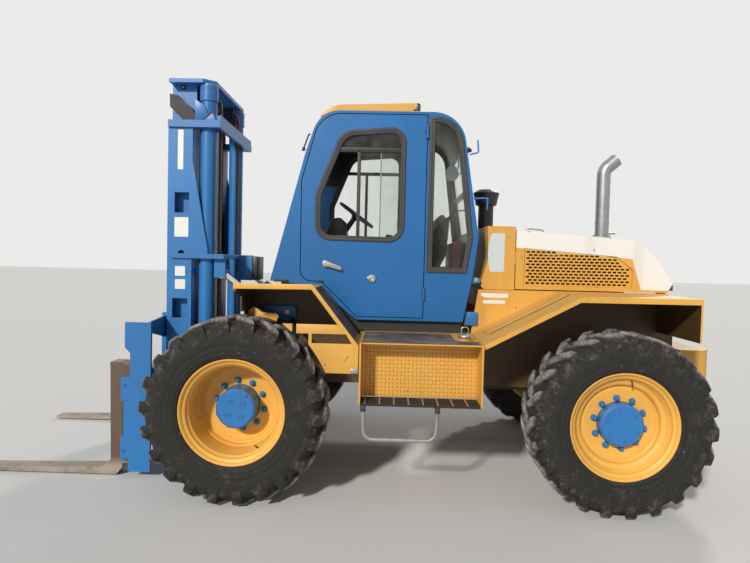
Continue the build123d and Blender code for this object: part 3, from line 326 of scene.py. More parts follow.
BLUE = (0.022, 0.170, 0.450)
CAB_BLUE = (0.008, 0.128, 0.365)
AMBER = (0.72, 0.375, 0.062)
PRIMER = (0.17, 0.12, 0.06)  # shows where blue paint is chipped
BLACK = (0.018, 0.018, 0.019)
mats = {
    # name, colour, undercoat, roughness, dust, chips, grime
    "blue_paint": paint("blue_enamel", BLUE, PRIMER, 0.36, 0.22, 0.4, 0.10),
    # the cab's zone lays a dark headliner and painted shade on its inward faces
    "cab_paint": paint("cab_enamel", CAB_BLUE, PRIMER, 0.34, 0.08, 0.25, 0.03, cab_lining_and_shade),
    # the mast's zone lays painted shade over its inside
    "mast_paint": paint("mast_enamel", BLUE, PRIMER, 0.38, 0.22, 0.4, 0.10, mast_painted_shade),
    # the amber's zone lays dark brown painted shade inside the wheel arches
    "body_yellow": paint("amber_enamel", AMBER, (0.075, 0.05, 0.04), 0.46, 0.2, 0.6, 0.3, arch_painted_shade),
    "rim_yellow": paint("rim_enamel", (0.80, 0.42, 0.070), (0.12, 0.07, 0.05), 0.44, 0.04, 0.6, 0.14),
    "hood_paint": paint("hood_enamel", AMBER, (0.09, 0.06, 0.05), 0.44, 0.25, 0.5, 0.16, band_zone),
    # name, colour, roughness, variation, grain, bump
    "dark_steel": plain("oily_black_steel", (0.028, 0.026, 0.025), 0.62, 0.4, 9, 0.0015, 0.2, dust=0.35,
                        rounding=0.003),
    "chrome_rod": plain("polished_rod", (0.66, 0.66, 0.67), 0.22, 0.08, 14, 0.0001, 1.0),
    "black_rubber": plain("black_rubber", BLACK, 0.6, 0.25, 30, 0.0005, dust=0.06, rounding=0.003),
    "black_plastic": plain("grained_plastic", BLACK, 0.42, 0.2, 40, 0.0004, dust=0.1, rounding=0.003),
    "olive_plastic": plain("sun_faded_plastic", (0.052, 0.045, 0.026), 0.5, 0.25, 12, 0.0004, dust=0.25,
                           rounding=0.003),
    "exhaust_grey": plain("aluminised_steel", (0.34, 0.345, 0.35), 0.34, 0.18, 9, 0.0003, 0.85, dust=0.1),
    "lamp_red": plain("red_lens", (0.42, 0.02, 0.012), 0.18, 0.1, 60, 0.0002),
    "seal_rubber": plain("weathered_rubber", (0.034, 0.032, 0.032), 0.6, 0.18, 18, 0.0004, dust=0.15,
                         rounding=0.002),
    "pale_plastic": plain("pale_plastic", (0.45, 0.50, 0.50), 0.4, 0.1, 30, 0.0002),
    "worn_metal": plain("worn_bright_metal", (0.42, 0.41, 0.39), 0.36, 0.3, 40, 0.0004, 0.8, dust=0.15,
                        rounding=0.0015),
    "white_label": plain("blank_white_label", (0.78, 0.77, 0.72), 0.45, 0.05, 20, 0.0001),
    "pale_label": plain("faded_label", (0.55, 0.62, 0.62), 0.5, 0.08, 25, 0.0001),
    "grip_black": plain("anti_slip_strip", (0.045, 0.045, 0.048), 0.85, 0.5, 70, 0.002, dust=0.5),
    "seat_vinyl": plain("seat_vinyl", (0.030, 0.029, 0.030), 0.5, 0.3, 55, 0.0008, dust=0.2),
    # name, steel, rust, amount of rust
    "rusty_steel": rusty("fork_steel", (0.12, 0.09, 0.07), (0.15, 0.08, 0.05), 0.75, dust=0.85),
    "grating_steel": rusty("grating_steel", (0.10, 0.075, 0.05), (0.16, 0.065, 0.03), 1.0),
    "chain_steel": rusty("greased_chain", (0.055, 0.048, 0.043), (0.085, 0.05, 0.035), 0.6, 0.5),
    "step_metal": step_metal(),
    "clear_glass": dusty_glass(),
    "tyre_rubber": rubber_tyre("front_tyre_rubber", 0.625, 0.9),
    "rear_tyre_rubber": rubber_tyre("rear_tyre_rubber", 0.607, 0.8),
}

# nodes that look other than their material slot says
node_mats = {"hood_shell": "hood_paint", "hood_grilles": "hood_paint", "door_panel": "cab_paint",
             "steps": "step_metal", "mast_inner": "mast_paint", "mast_outer": "mast_paint"}
node_mats.update({f"cab_{part}": "cab_paint" for part in ("left", "right", "front", "rear", "roof", "floor")})
for piece in frame["record"]["subparts"]:
    node = piece["node"]
    nodes[node].data.materials.clear()
    nodes[node].data.materials.append(mats[node_mats.get(node, piece["material_slot"])])


# Shapes


def rotation_to(normal):
    """Turns +Z to a direction."""
    return Vector(normal).normalized().to_track_quat("Z", "Y").to_matrix()


def circle(count, radius=1.0, first=0.0):
    """Even points round a circle; first is the first one's angle in degrees."""
    turns = [math.radians(first + 360 * k / count) for k in range(count)]
    return [(radius * math.cos(a), radius * math.sin(a)) for a in turns]


def corners(points):
    """Each point of a closed outline with the ones before and after it."""
    return zip(points[-1:] + points[:-1], points, points[1:] + points[:1])


def inset(points, wall):
    """The closed outline moved inwards by a wall, with mitred corners."""
    area = sum(a[0] * b[1] - b[0] * a[1] for a, b in zip(points, points[1:] + points[:1]))
    turn = 1 if area > 0 else -1
    moved = []
    for before, here, after in corners(points):
        first = math.atan2(here[1] - before[1], here[0] - before[0])
        second = math.atan2(after[1] - here[1], after[0] - here[0])
        half = (second - first) / 2
        normal = first + half + turn * math.pi / 2
        reach = wall / math.cos(half)
        moved.append((here[0] + reach * math.cos(normal), here[1] + reach * math.sin(normal)))
    return moved


def rounded(points, radius, steps=6, limit=0.49):
    """A run of points whose inner corners are arcs, which take up to a limit's share of each side."""
    points = [Vector(p) for p in points]
    made = points[:1]
    for before, here, after in zip(points, points[1:], points[2:]):
        a, b = before - here, after - here
        half = a.angle(b) / 2
        if half > math.radians(89.5):
            made.append(here)
            continue
        cut = min(radius / math.tan(half), a.length * limit, b.length * limit)
        a.normalize()
        b.normalize()
        centre = here + (a + b).normalized() * (cut * math.tan(half) / math.sin(half))
        u, v = here + a * cut - centre, here + b * cut - centre
        sweep = u.angle(v)
        for k in range(steps + 1):
            t = k / steps
            made.append(centre + (u * math.sin((1 - t) * sweep) + v * math.sin(t * sweep)) / math.sin(sweep))
    return made + points[-1:]


def filleted(points, steps=8):
    """A closed outline whose points may carry a corner radius as their third value."""
    made = []
    for before, here, after in corners(points):
        if len(here) == 3:
            made += rounded([before[:2], here[:2], after[:2]], here[2], steps, limit=1.0)[1:-1]
        else:
            made.append(here)
    return [tuple(p) for p in made]


def plate(rear, low, front, high, radius):
    """A rectangle with round corners, as a filleted outline's points."""
    return [(rear, low, radius), (front, low, radius), (front, high, radius), (rear, high, radius)]


def along(start, way, first, last, thick):
    """A flat strip's outline on a slope that falls forward or back, between two distances from its start."""
    start, run = Vector(start), Vector(way).normalized()
    rise = Vector((run.y, -run.x))
    spots = ((first, 0), (last, 0), (last, thick), (first, thick))
    return [tuple(start + run * a + rise * b) for a, b in spots]


def clip(points, axis, limit, above):
    """The part of an outline on one side of a level; axis 0 is X and 1 is Z."""
    kept = []
    for a, b in zip(points, points[1:] + points[:1]):
        inside = [(p[axis] >= limit) == above for p in (a, b)]
        if inside[0]:
            kept.append(a)
        if inside[0] != inside[1]:
            t = (limit - a[axis]) / (b[axis] - a[axis])
            kept.append(tuple(m + t * (n - m) for m, n in zip(a, b)))
    return kept


class Shape:
    """Collects closed solids, in mm from the front axle's foot, for one mesh."""

    def __init__(self):
        self.verts = []
        self.faces = []

    def add(self, verts, faces):
        start = len(self.verts)
        self.verts += [Vector(v) for v in verts]
        self.faces += [[start + i for i in face] for face in faces]
        return self

    def skin(self, rings, loop=False, caps=True):
        """Quads between rings of points; a loop joins the last to the first, an open run may have caps."""
        wide, count = len(rings[0]), len(rings)
        verts = [tuple(p) for ring in rings for p in ring]
        faces = []
        for i in range(count if loop else count - 1):
            for k in range(wide):
                n, j = (k + 1) % wide, (i + 1) % count
                quad = [i * wide + k, i * wide + n, j * wide + n, j * wide + k]
                # where a ring is drawn together in one point, the quad is a triangle
                face = [spot for at, spot in enumerate(quad) if verts[spot] != verts[quad[at - 1]]]
                if len(face) > 2:
                    faces.append(face)
        if caps and not loop:
            faces += [list(range(wide))[::-1], list(range((count - 1) * wide, count * wide))]
        return self.add(verts, faces)

    def prism(self, points, low, high, bevel=0.0, segments=2, axis="y", arc=8):
        """A filleted outline drawn from low to high along Y, or along X; its points hold the other two."""
        bm = bmesh.new()
        rings = []
        for level in (low, high):
            spots = [(level, a, b) if axis == "x" else (a, level, b) for a, b in filleted(points, arc)]
            rings.append([bm.verts.new(spot) for spot in spots])
        lower, upper = rings
        bm.faces.new(lower)
        bm.faces.new(upper[::-1])
        for a, b, c, d in zip(lower, lower[1:] + lower[:1], upper[1:] + upper[:1], upper):
            bm.faces.new((b, a, d, c))
        bmesh.ops.recalc_face_normals(bm, faces=bm.faces)
        if bevel:
            sharp = [e for e in bm.edges if e.calc_face_angle(0) > SMOOTH_ANGLE]
            bmesh.ops.bevel(bm, geom=sharp, offset=bevel, segments=segments, profile=0.5, affect="EDGES",
                            clamp_overlap=True)
        bm.verts.index_update()
        self.add([v.co for v in bm.verts], [[v.index for v in f.verts] for f in bm.faces])
        bm.free()
        return self

    def block(self, low, high, bevel=0.0):
        """A box between two corners."""
        points = [(low[0], low[2]), (high[0], low[2]), (high[0], high[2]), (low[0], high[2])]
        return self.prism(points, low[1], high[1], bevel)

    def slab(self, points, low, high):
        """A plain plate drawn along Y."""
        return self.skin([[(x, y, z) for x, z in points] for y in (low, high)])

    def ribbon(self, outline, section, sign=1):
        """A profile swept round an outline in X and Z; section is (inset, y) points."""
        rings = [[(x, sign * y, z) for x, z in (inset(outline, d) if d else outline)] for d, y in section]
        return self.skin(rings, loop=True)

    def lathe(self, profile, centre, axis=LEFT, sides=48):
        """Turns (distance along the axis, radius) points; a profile that ends off the axis is closed."""
        foot, turn = Vector(centre), rotation_to(axis)
        rings = [[foot + turn @ Vector((u, v, t)) for u, v in circle(sides, r)] for t, r in profile]
        return self.skin(rings, loop=profile[-1][1] > 0, caps=False)

    def rod(self, start, end, radius, sides=20):
        """A round bar with slightly eased ends."""
        start, end = Vector(start), Vector(end)
        length = (end - start).length
        ease = min(1.0, radius * 0.4, length * 0.3)
        return self.lathe([(0, 0), (0, radius - ease), (ease, radius), (length - ease, radius),
                           (length, radius - ease), (length, 0)], start, end - start, sides)

    def pipe(self, points, radius, bend=0.0, sides=14, steps=6, bore=0.0):
        """A round bar along a run of points whose corners are arcs of one radius; bore makes it a tube."""
        path = rounded(points, bend, steps) if bend else [Vector(p) for p in points]
        across = None
        rings = []
        for before, here, after in zip(path[:1] + path, path, path[1:] + path[-1:]):
            ahead = (after - before).normalized()
            if across is None:
                across = ahead.orthogonal()
            across = (across - ahead * across.dot(ahead)).normalized()
            side = ahead.cross(across)
            rings.append([(here, across * u + side * v) for u, v in circle(sides)])
        walls = [[here + way * radius for here, way in ring] for ring in rings]
        if bore:
            walls += [[here + way * bore for here, way in ring] for ring in rings[::-1]]
        return self.skin(walls, loop=bool(bore))

    def bolt(self, centre, normal, radius, height, stud=0.0, turn=0.0):
        """A hexagon head on its washer."""
        foot = Vector(centre)
        base, ease = height * 0.2, height * 0.14
        self.lathe([(0, 0), (0, radius * 1.35), (base, radius * 1.35), (base, 0)], foot, normal, 16)
        spin = rotation_to(normal) @ Matrix.Rotation(turn, 3, "Z")
        self.skin([[foot + spin @ Vector((u, v, t)) for u, v in circle(6, r)]
                   for t, r in ((base, radius), (height - ease, radius), (height, radius * 0.86))])
        if stud:
            ends = [foot + spin @ Vector((0, 0, t)) for t in (height - 1, height + stud)]
            self.rod(*ends, radius * 0.55, 10)
        return self

    def mirrored(self):
        """Adds the same solids on the other side of the machine."""
        return self.add([(v.x, -v.y, v.z) for v in self.verts], [face[::-1] for face in self.faces])

    def make(self, name, material, body, slot, replaces=(), origin=None):
        """Builds the object and fastens it to its body; origin is its own zero point, in mm."""
        zero = metres(origin) if origin is not None else Vector((0, 0, 0))
        mesh = bpy.data.meshes.new(name)
        mesh.from_pydata([metres(v) - zero for v in self.verts], [], self.faces)
        bm = bmesh.new()
        bm.from_mesh(mesh)
        bmesh.ops.recalc_face_normals(bm, faces=bm.faces)
        for face in bm.faces:
            face.smooth = True
        for edge in bm.edges:
            if edge.calc_face_angle(math.pi) > SMOOTH_ANGLE:
                edge.smooth = False
        bm.to_mesh(mesh)
        bm.free()
        mesh.materials.append(mats[material])
        piece = bpy.data.objects.new(name, mesh)
        piece.location = zero
        bpy.context.scene.collection.objects.link(piece)
        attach(piece, body)
        if replaces:
            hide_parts(*replaces)
        return piece


# Wheels

TRACK = 1059.0
LUGS = 22
# x, tyre radius, lug height, disc depth inside the flange, cap radius, cap length, shoulder wear
WHEELS = {
    "front": (0.0, 625.0, 36.0, 250.0, 134.5, 150.0, 1.0),
    "rear": (-2550.0, 607.0, 26.0, 115.0, 142.5, 70.0, 0.45),
}


def casing_profile(radius, lug):
    """Half of the tyre's section from its middle to its bead: (distance outboard, radius)."""
    crown = radius - lug
    return [
        (0, crown), (60, crown - 1), (115, crown - 5), (150, crown - 14), (172, crown - 32),
        (184, crown - 60), (189, crown - 90), (190, radius - 160), (189, radius - 178), (187.5, radius - 181),
        (187.5, radius - 187), (189, radius - 190), (186, radius - 212), (182.5, radius - 222),
        (182.5, radius - 228), (184, radius - 232), (177, 372), (173, 362), (168, 357), (160, 352),
        (140, 340), (138, 325),
    ]


def tread_lugs(shape, centre, sign, radius, lug, wear):
    """Diagonal bars whose outer ends wrap over the shoulder, half a pitch apart on the two sides."""
    crown = radius - lug
    # stations along a bar: distance outboard, foot radius, top radius, half width, angle run in mm, bulge
    rows = [
        (-14, crown - 4, radius - 7, 19, -8, 0.0), (8, crown - 4, radius - 1, 25, 6, 0.0),
        (60, crown - 5, radius, 28, 44, 0.0), (112, crown - 9, radius - 2 * wear, 31, 84, 0.0),
        (150, crown - 20, radius - 7, 33, 108, 0.0), (172, crown - 38, radius - 18, 34, 120, 6.0),
        (184, crown - 62, radius - 40, 34, 125, 9.5), (188, crown - 84, radius - 68, 32, 127, 6.0),
    ]
    for side in (1, -1):
        for k in range(LUGS):
            start = 2 * math.pi * (k + (0.5 if side < 0 else 0)) / LUGS
            chip = [rng.uniform(-1.6, 1.6) for _ in rows]
            rings = []
            for i, (y, foot, top, half, run, bulge) in enumerate(rows):
                top = top + chip[i] * 0.7
                middle = start + (chip[(i + 3) % 8] - run) / radius
                # across the bar, radius and bulge, from one foot over the top to the other
                flank = (half + 3, foot + (top - foot) * 0.7, bulge * 0.7)
                slope = [(half + 9, foot, 0.0), flank, (half - 3, top, bulge)]
                section = [(-across, r, push) for across, r, push in slope]
                section += [(0.0, top + 0.8, bulge), *slope[::-1]]
                ring = []
                for across, r, push in section:
                    a = middle + across / radius
                    out = sign * side * (y + push * 0.5)
                    ring.append(centre + Vector((r * math.sin(a), out, r * math.cos(a))))
                rings.append(ring)
            shape.skin(rings)


def wheel(end, side, sign):
    """One wheel's tyre, rim, nuts and valve."""
    x, radius, lug, depth, cap, cap_long, wear = WHEELS[end]
    front = end == "front"
    centre = Vector((x, sign * TRACK, radius))
    body = f"wheel_{end}_{side}"
    out = (0, sign, 0)
    disc = 165 - depth  # the disc's outer face, outboard from the wheel's middle
    seat = 268 if front else 252  # where the disc turns into the rim

    half = casing_profile(radius, lug)
    shape = Shape().lathe(half + [(-y, r) for y, r in half[::-1][:-1]], centre, out, 144)
    tread_lugs(shape, centre, sign, radius, lug, wear)
    rubber = "tyre_rubber" if front else "rear_tyre_rubber"
    shape.make(f"lugged_tyre_{end}_{side}", rubber, body, "tyre_rubber", [f"tyre_{end}_{side}"], centre)

    shape = Shape().lathe([
        (-165, 353), (-165, 338), (-150, 322), (disc - 22, seat + 14), (disc - 16, seat),
        (disc - 16, cap + 3), (disc, cap + 3), (disc, seat - 40), (disc + 3, seat - 26),
        (disc + 3, seat - 16), (disc, seat - 4),
        (disc + 6, seat + 4), (disc + 22, seat + 9), (disc + 34, seat + 12), (disc + 40, seat + 20),
        (70 if front else 96, 291), (108, 298), (120, 311), (126, 313), (136, 314), (140, 320),
        (146, 332), (155, 336), (160, 340), (164.5, 345), (165, 352), (162, 355), (155, 354.5), (151, 350),
        (146, 338), (139, 329.5), (0, 318), (-139, 329.5), (-151, 350), (-157, 355), (-162, 355),
    ], centre, out, 128)
    shape.make(f"dished_rim_{end}_{side}", "rim_yellow", body, "rim_yellow", [f"rim_{end}_{side}"], centre)

    shape = Shape()
    cap_face = sign * (disc + cap_long)
    for u, v in circle(10, 167.5, 11):
        shape.bolt(centre + Vector((u, sign * disc, v)), out, 17, 22, stud=9, turn=rng.uniform(0, 1))
    if front:
        plug = [(-1, 0), (-1, 22), (1.5, 22), (4, 19), (4, 15), (0.5, 12), (0.5, 9), (5, 6), (5, 0)]
        for u, v in circle(4, 62, 52):
            shape.lathe(plug, centre + Vector((u, cap_face, v)), out, 20)
        shape.bolt(centre + Vector((-70, cap_face, 92)), out, 9, 7)
    else:
        for u, v in circle(6, 104, 20):
            shape.bolt(centre + Vector((u, cap_face, v)), out, 8, 6)
    shape.make(f"wheel_nuts_{end}_{side}", "blue_paint", body, "blue_paint", origin=centre)

    # the valve's stem leans out of the rim's well
    u, v = circle(1, 1, -125 if front else 100)[0]
    foot, tip = [centre + Vector((r * u, sign * y, r * v)) for r, y in ((300, 96), (278, 122))]
    stem = Shape().pipe([foot, (foot + tip) / 2 + Vector((0, sign * 10, 0)), tip], 4.2, 8)
    stem.rod(tip, tip + (tip - foot).normalized() * 14, 5.6, 12)
    stem.make(f"valve_stem_{end}_{side}", "black_rubber", body, "black_rubber", origin=centre)


for end in WHEELS:
    wheel(end, "left", 1)
    wheel(end, "right", -1)


# Cab

LABEL_Y = (480, 481.2)  # a blank label's two faces on the mast's and frame's sides
WINDOW = filleted([(-434, 2140, 80), (-627, 2620, 150), (-1119, 2661, 120), (-1119, 1778, 125),
                   (-434, 1787, 125)])
QUARTER = filleted([(-1290, 2738), (-1528, 2738, 212), (-1640, 1830, 60), (-1598, 1557), (-1290, 1557)])
DOOR = filleted([(-466, 2745, 205), (-329, 2238, 150), (-331, 1477, 85), (-494, 1477, 40), (-767, 1215, 25),
                 (-1270, 1215), (-1270, 2745)])
# the rubber's section: distance in from the opening's edge, and height over the cab's middle
SEAL = [(0, 520), (0, 541), (3, 545), (9, 547), (20, 547), (24, 545.5), (27, 543), (31, 545), (38, 544),
        (43, 540), (44, 531), (44, 520)]
RAIL_Z = 2481  # the door window's cross bar
POST_X = -761  # and its upright


def glazing():
    """Window rubber, sash bars and panes."""
    shape = Shape().ribbon(WINDOW, SEAL)
    shape.make("door_window_rubber", "seal_rubber", "door", "black_rubber", ["door_gasket"])
    shape = Shape().ribbon(WINDOW, SEAL, -1).ribbon(QUARTER, SEAL).ribbon(QUARTER, SEAL, -1)
    shape.make("cab_window_rubber", "seal_rubber", "chassis", "black_rubber", ["cab_gaskets"])
    shape = Shape().ribbon(DOOR, [(-13, 489), (-13, 499.5), (14, 499.5), (14, 489)])
    shape.make("door_weather_strip", "black_rubber", "chassis", "black_rubber")

    shape = Shape().block((-1078, 508, RAIL_Z - 18), (-606, 534, RAIL_Z + 18), 3)
    shape.block((-1078, 533, RAIL_Z - 5), (-606, 538, RAIL_Z + 5), 1.5)
    shape.block((POST_X - 13, 508, 1820), (POST_X + 13, 534, RAIL_Z), 3)
    shape.make("door_sash_bars", "seal_rubber", "door", "black_rubber")
    shape = Shape().block((-1078, -534, 2441), (-596, -508, 2470), 3)
    shape.block((-790, -534, 1820), (-765, -508, 2455), 3)
    shape.make("right_sash_bars", "seal_rubber", "chassis", "black_rubber")

    inner = inset(WINDOW, 40)
    below = clip(inner, 1, RAIL_Z, False)
    shape = Shape()
    # the fixed upper pane, the fixed rear pane, and the front pane slid back behind it
    for outline, y in ((clip(inner, 1, RAIL_Z, True), 520), (clip(below, 0, POST_X, False), 520),
                       (clip(below, 0, -927, False), 510)):
        shape.prism(outline, y, y + 5)
    shape.make("door_panes", "clear_glass", "door", "clear_glass", ["door_glass"])
    shape = Shape().block((-932, 505, 1823), (-923, 519, RAIL_Z - 16), 2)
    shape.make("sliding_pane_edge", "pale_plastic", "door", "black_plastic")


def door_fittings():
    """Lever, lock and hinge bolts of the left door."""
    shape = Shape()
    shape.prism([(-512, 1631, 6), (-527, 1634, 6), (-640, 1590, 8), (-652, 1566, 6), (-640, 1560, 6),
                 (-530, 1588, 10), (-514, 1584, 6)], 561, 573, 3.5, 3)
    shape.lathe([(0, 0), (0, 26), (3, 26), (5, 22), (5, 15), (22, 13), (22, 0)], (-523, 540, 1609), LEFT, 28)
    shape.block((-530, 540, 1586), (-516, 552, 1632), 3)
    # the lock's raised ring and its barrel
    shape.lathe([(0, 30), (8, 30), (13, 27), (14, 22), (11, 19), (11, 12), (17, 11), (18, 9), (15, 4),
                 (15, 0)], (-880, 540, 1505), LEFT, 32)
    shape.prism([(-842, 1516, 5), (-858, 1519, 5), (-858, 1496, 5), (-842, 1499, 5)], 540, 552, 2)
    shape.make("door_lever_and_lock", "worn_metal", "door", "black_plastic", ["door_handle"])
    shape = Shape()
    for z in (1395, 2620):
        for dz in (12, 38):
            shape.bolt((-1257, 545, z + dz), LEFT, 5, 4)
    shape.make("door_hinge_bolts", "blue_paint", "door", "blue_paint")


def cab_fittings():
    """Mirror hooks, tabs, edge rubbers and the roof guard's ends on the cab's outside."""
    shape = Shape()
    tip = (-340, 542, 2486)
    shape.pipe([(-384, 532, 2590), (-374, 540, 2584), (-345, 542, 2500), tip], 6, 8, 12)
    shape.lathe([(0, 0), (0, 12), (14, 13), (26, 9), (26, 0)], tip, (0.2, 0, -1), 16)
    shape.lathe([(0, 0), (0, 24), (8, 23), (34, 8), (36, 0)], (-1578, 516, 2496), (-1, 0, -0.1), 20)
    shape.mirrored().make("mirror_arm_ends", "black_rubber", "chassis", "black_rubber")
    shape = Shape().pipe([(-1596, 520, 2461), (-1663, 520, 2478), (-1655, 520, 2570)], 6, 14, 12)
    shape.pipe([(-1630, 520, 2130), (-1742, 520, 2136), (-1740, 520, 2046)], 6.5, 14, 12)
    # tabs that hold the cab to the cowl, with their mounts
    shape.prism([(-1635, 1536, 6), (-1705, 1530, 18), (-1705, 1490, 18), (-1640, 1485, 6)], 500, 512)
    shape.mirrored().make("cab_hooks_and_tabs", "blue_paint", "chassis", "blue_paint")
    shape = Shape().bolt((-1676, 512, 1511), LEFT, 12, 14)
    shape.mirrored().make("cab_tab_bolts", "worn_metal", "chassis", "chrome_rod")
    shape = Shape().prism(plate(-237, 1463, -129, 1483, 5), 512, 552, 2, arc=4)
    shape.prism(plate(-505, 1470, -451, 1484, 5), 512, 552, 2, arc=4)
    shape.prism([(-1182, 2838, 4), (-1200, 2846, 4), (-1216, 2836, 4), (-1216, 2792, 4), (-1160, 2786, 4),
                 (-1165, 2798, 3), (-1196, 2802, 3), (-1198, 2830, 3)], 470, 504, 1.5)
    # a black sheet between the cab's foot and the step box: partly the black parts there, partly painted
    # shade
    shape.prism([(-640, 1290), (-770, 1192), (-1574, 1192), (-1574, 1100), (-770, 1100), (-640, 1180)],
                486, 494)
    shape.mirrored().make("cab_edge_rubbers_and_shade_sheet", "black_rubber", "chassis", "black_rubber")
    shape = Shape().bolt((-1186, 500, 2818), LEFT, 10, 9, stud=5)
    shape.mirrored().make("roof_guard_bolts", "worn_metal", "chassis", "dark_steel")
    # the guard's rails run down over the roof's front corner
    shape = Shape()
    shape.prism([(-640, 2822), (-600, 2826), (-546, 2812), (-493, 2780), (-452, 2738), (-458, 2728),
                 (-500, 2752), (-560, 2778), (-640, 2790)], 444, 498, 3)
    shape.mirrored().make("roof_guard_toes", "body_yellow", "chassis", "body_yellow")


glazing()
door_fittings()
cab_fittings()


# Fenders

SHEET = 8  # thickness of the front fenders' sheet
FENDER_Y = 1150  # their outer face
FENDER_IN = 546  # their inner wall's face, beside the frame


def front_fenders():
    """Deck behind a raised rim, a sloped part behind the wheel, and the outer face with its openings."""
    outer = FENDER_Y - SHEET
    inner = FENDER_IN + SHEET
    shape = Shape()
    shape.prism([(20, 1442), (-500, 1447), (-790, 1080), (-820, 1076), (-820, 1060), (-796, 1076),
                 (-503, 1439), (20, 1434)], FENDER_IN, outer)
    # rim along the deck and down the slope, then the plate behind the wheel in two parts round its slot
    shape.prism([(20, 1470), (-505, 1477), (-820, 1076), (-818, 891), (-792, 891), (-792, 1068),
                 (-773, 1088), (-735, 1150), (-677, 1213), (-499, 1441), (20, 1434)], outer, FENDER_Y, 1.2)
    shape.prism([(-310, 1213), (-378, 1213), (-378, 1165), (-372, 1160)], outer, FENDER_Y)
    shape.prism([(-405, 1213), (-677, 1213), (-735, 1150), (-508, 1150), (-508, 1088), (-773, 1088),
                 (-792, 1068), (-792, 891), (-606, 891), (-545, 1000), (-487, 1080), (-487, 1150),
                 (-405, 1150)], outer, FENDER_Y, 1.2)
    # nose plate, cut away over the tyre
    shape.prism([(FENDER_IN, 1440), (outer, 1440), (outer, 1424), (941, 1371), (941, 1264), (856, 1264),
                 (856, 1082), (FENDER_IN, 1082)], 12, 20, axis="x")
    # inner wall, and the shelf that joins it to the frame
    shape.prism([(12, 960), (12, 1436), (-500, 1441), (-800, 1070), (-800, 960)], FENDER_IN, inner)
    shape.prism([(-790, 960), (12, 960), (12, 968), (-790, 968)], 480, FENDER_IN)
    shape.mirrored().make("front_fender_pair", "body_yellow", "chassis", "body_yellow", ["front_fenders"])
    # bracket over the wheel, on a web from the inner wall
    shape = Shape()
    shape.prism([(-4, 1236, 4), (6, 1262, 6), (-40, 1290, 8), (-92, 1262, 8), (-98, 1254, 8),
                 (-205, 1244, 10), (-222, 1228, 8), (-205, 1190, 10), (-205, 1130), (-4, 1130)],
                790, 806, 1.5)
    shape.prism([(-190, 1225), (-20, 1225), (-20, 1235), (-190, 1235)], FENDER_IN + 4, 796)
    shape.mirrored().make("front_fender_brackets", "rim_yellow", "chassis", "body_yellow")

    # an anti-slip strip down the slope
    shape = Shape().prism(along((-500, 1447), (-0.6245, -0.7811), 6, 452, 3), 600, 1112)
    shape.mirrored().make("fender_grip_strips", "grip_black", "chassis", "black_rubber")
    shape = Shape().block((-310, inner, 1180), (-60, 600, 1288), 6)
    shape.mirrored().make("fender_valve_boxes", "blue_paint", "chassis", "blue_paint")
    shape = Shape().bolt((-245, 600, 1235), LEFT, 14, 12)
    shape.mirrored().make("fender_valve_bolts", "worn_metal", "chassis", "chrome_rod")
    shape = Shape()
    shape.pipe([(-288, 590, 1190), (-300, 640, 1150), (-384, 1090, 1120), (-392, 1110, 980)], 15, 40, 12)
    shape.mirrored().make("fender_drain_pipes", "black_rubber", "chassis", "black_rubber")


front_fenders()


# Mast

LINK = 25.4  # from pin to pin
PLATE = 3.5  # a chain plate's thickness
PLATE_STEP = 4  # from one row of plates to the next
PLATE_END_R = 12.4  # the round ends of a plate
PIN_R = 4.5
PIN_OUT = 1.3  # how far pins stand out of their plates
SHEAVE = (466, 2850)
SHEAVE_R = 85
CHAIN_Y = (247, 277)
STRAND_Y = (259, 265)  # the gap between the two rear strands


def link(a, b):
    """A chain plate's waisted outline round two pins."""
    run = (b - a).normalized()
    side = Vector((-run.y, run.x))
    made = []
    for centre, first, waist in ((b, -70, 8.5), (a, 110, -8.5)):
        for k in range(5):
            angle = math.radians(first + 35 * k)
            made.append(centre + (run * math.cos(angle) + side * math.sin(angle)) * PLATE_END_R)
        made.append((a + b) / 2 + side * waist)
    return made


def leaf_chain(shape, pins, low, high):
    """Rows of plates on pins, alternate rows one pin apart, between two Y levels."""
    pins = [Vector(p) for p in pins]
    for row in range(round((high - low) / PLATE_STEP)):
        y = low + PLATE_STEP * row + 0.2
        for i in range(row % 2, len(pins) - 1, 2):
            shape.slab(link(pins[i], pins[i + 1]), y, y + PLATE)
    for x, z in pins:
        shape.slab([(x + u, z + v) for u, v in circle(6, PIN_R)], low - PIN_OUT, high + PIN_OUT)


def chains():
    """Fixed and moving strands behind, the wrap over the sheave, and the run that carries the forks."""
    x, top = SHEAVE
    rear, front = [[(x + side * SHEAVE_R, top - LINK * k) for k in range(83)] for side in (-1, 1)]
    wrap = [(x + u, top + v) for u, v in circle(20, SHEAVE_R)[:11]]
    for name, body, strands in (
        ("fixed", "mast_outer", [(rear, CHAIN_Y[0], STRAND_Y[0])]),
        ("moving", "mast_inner", [(rear[:82], STRAND_Y[1], CHAIN_Y[1]), (wrap, *CHAIN_Y)]),
        ("front", "mast_inner", [(front, *CHAIN_Y)]),
    ):
        shape = Shape()
        for strand in strands:
            leaf_chain(shape, *strand)
        shape.mirrored()
        piece = shape.make(f"leaf_chain_{name}", "chain_steel", body, "chain_steel", [f"chain_{name}"])
    # the last of them is the front run
    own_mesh(piece)


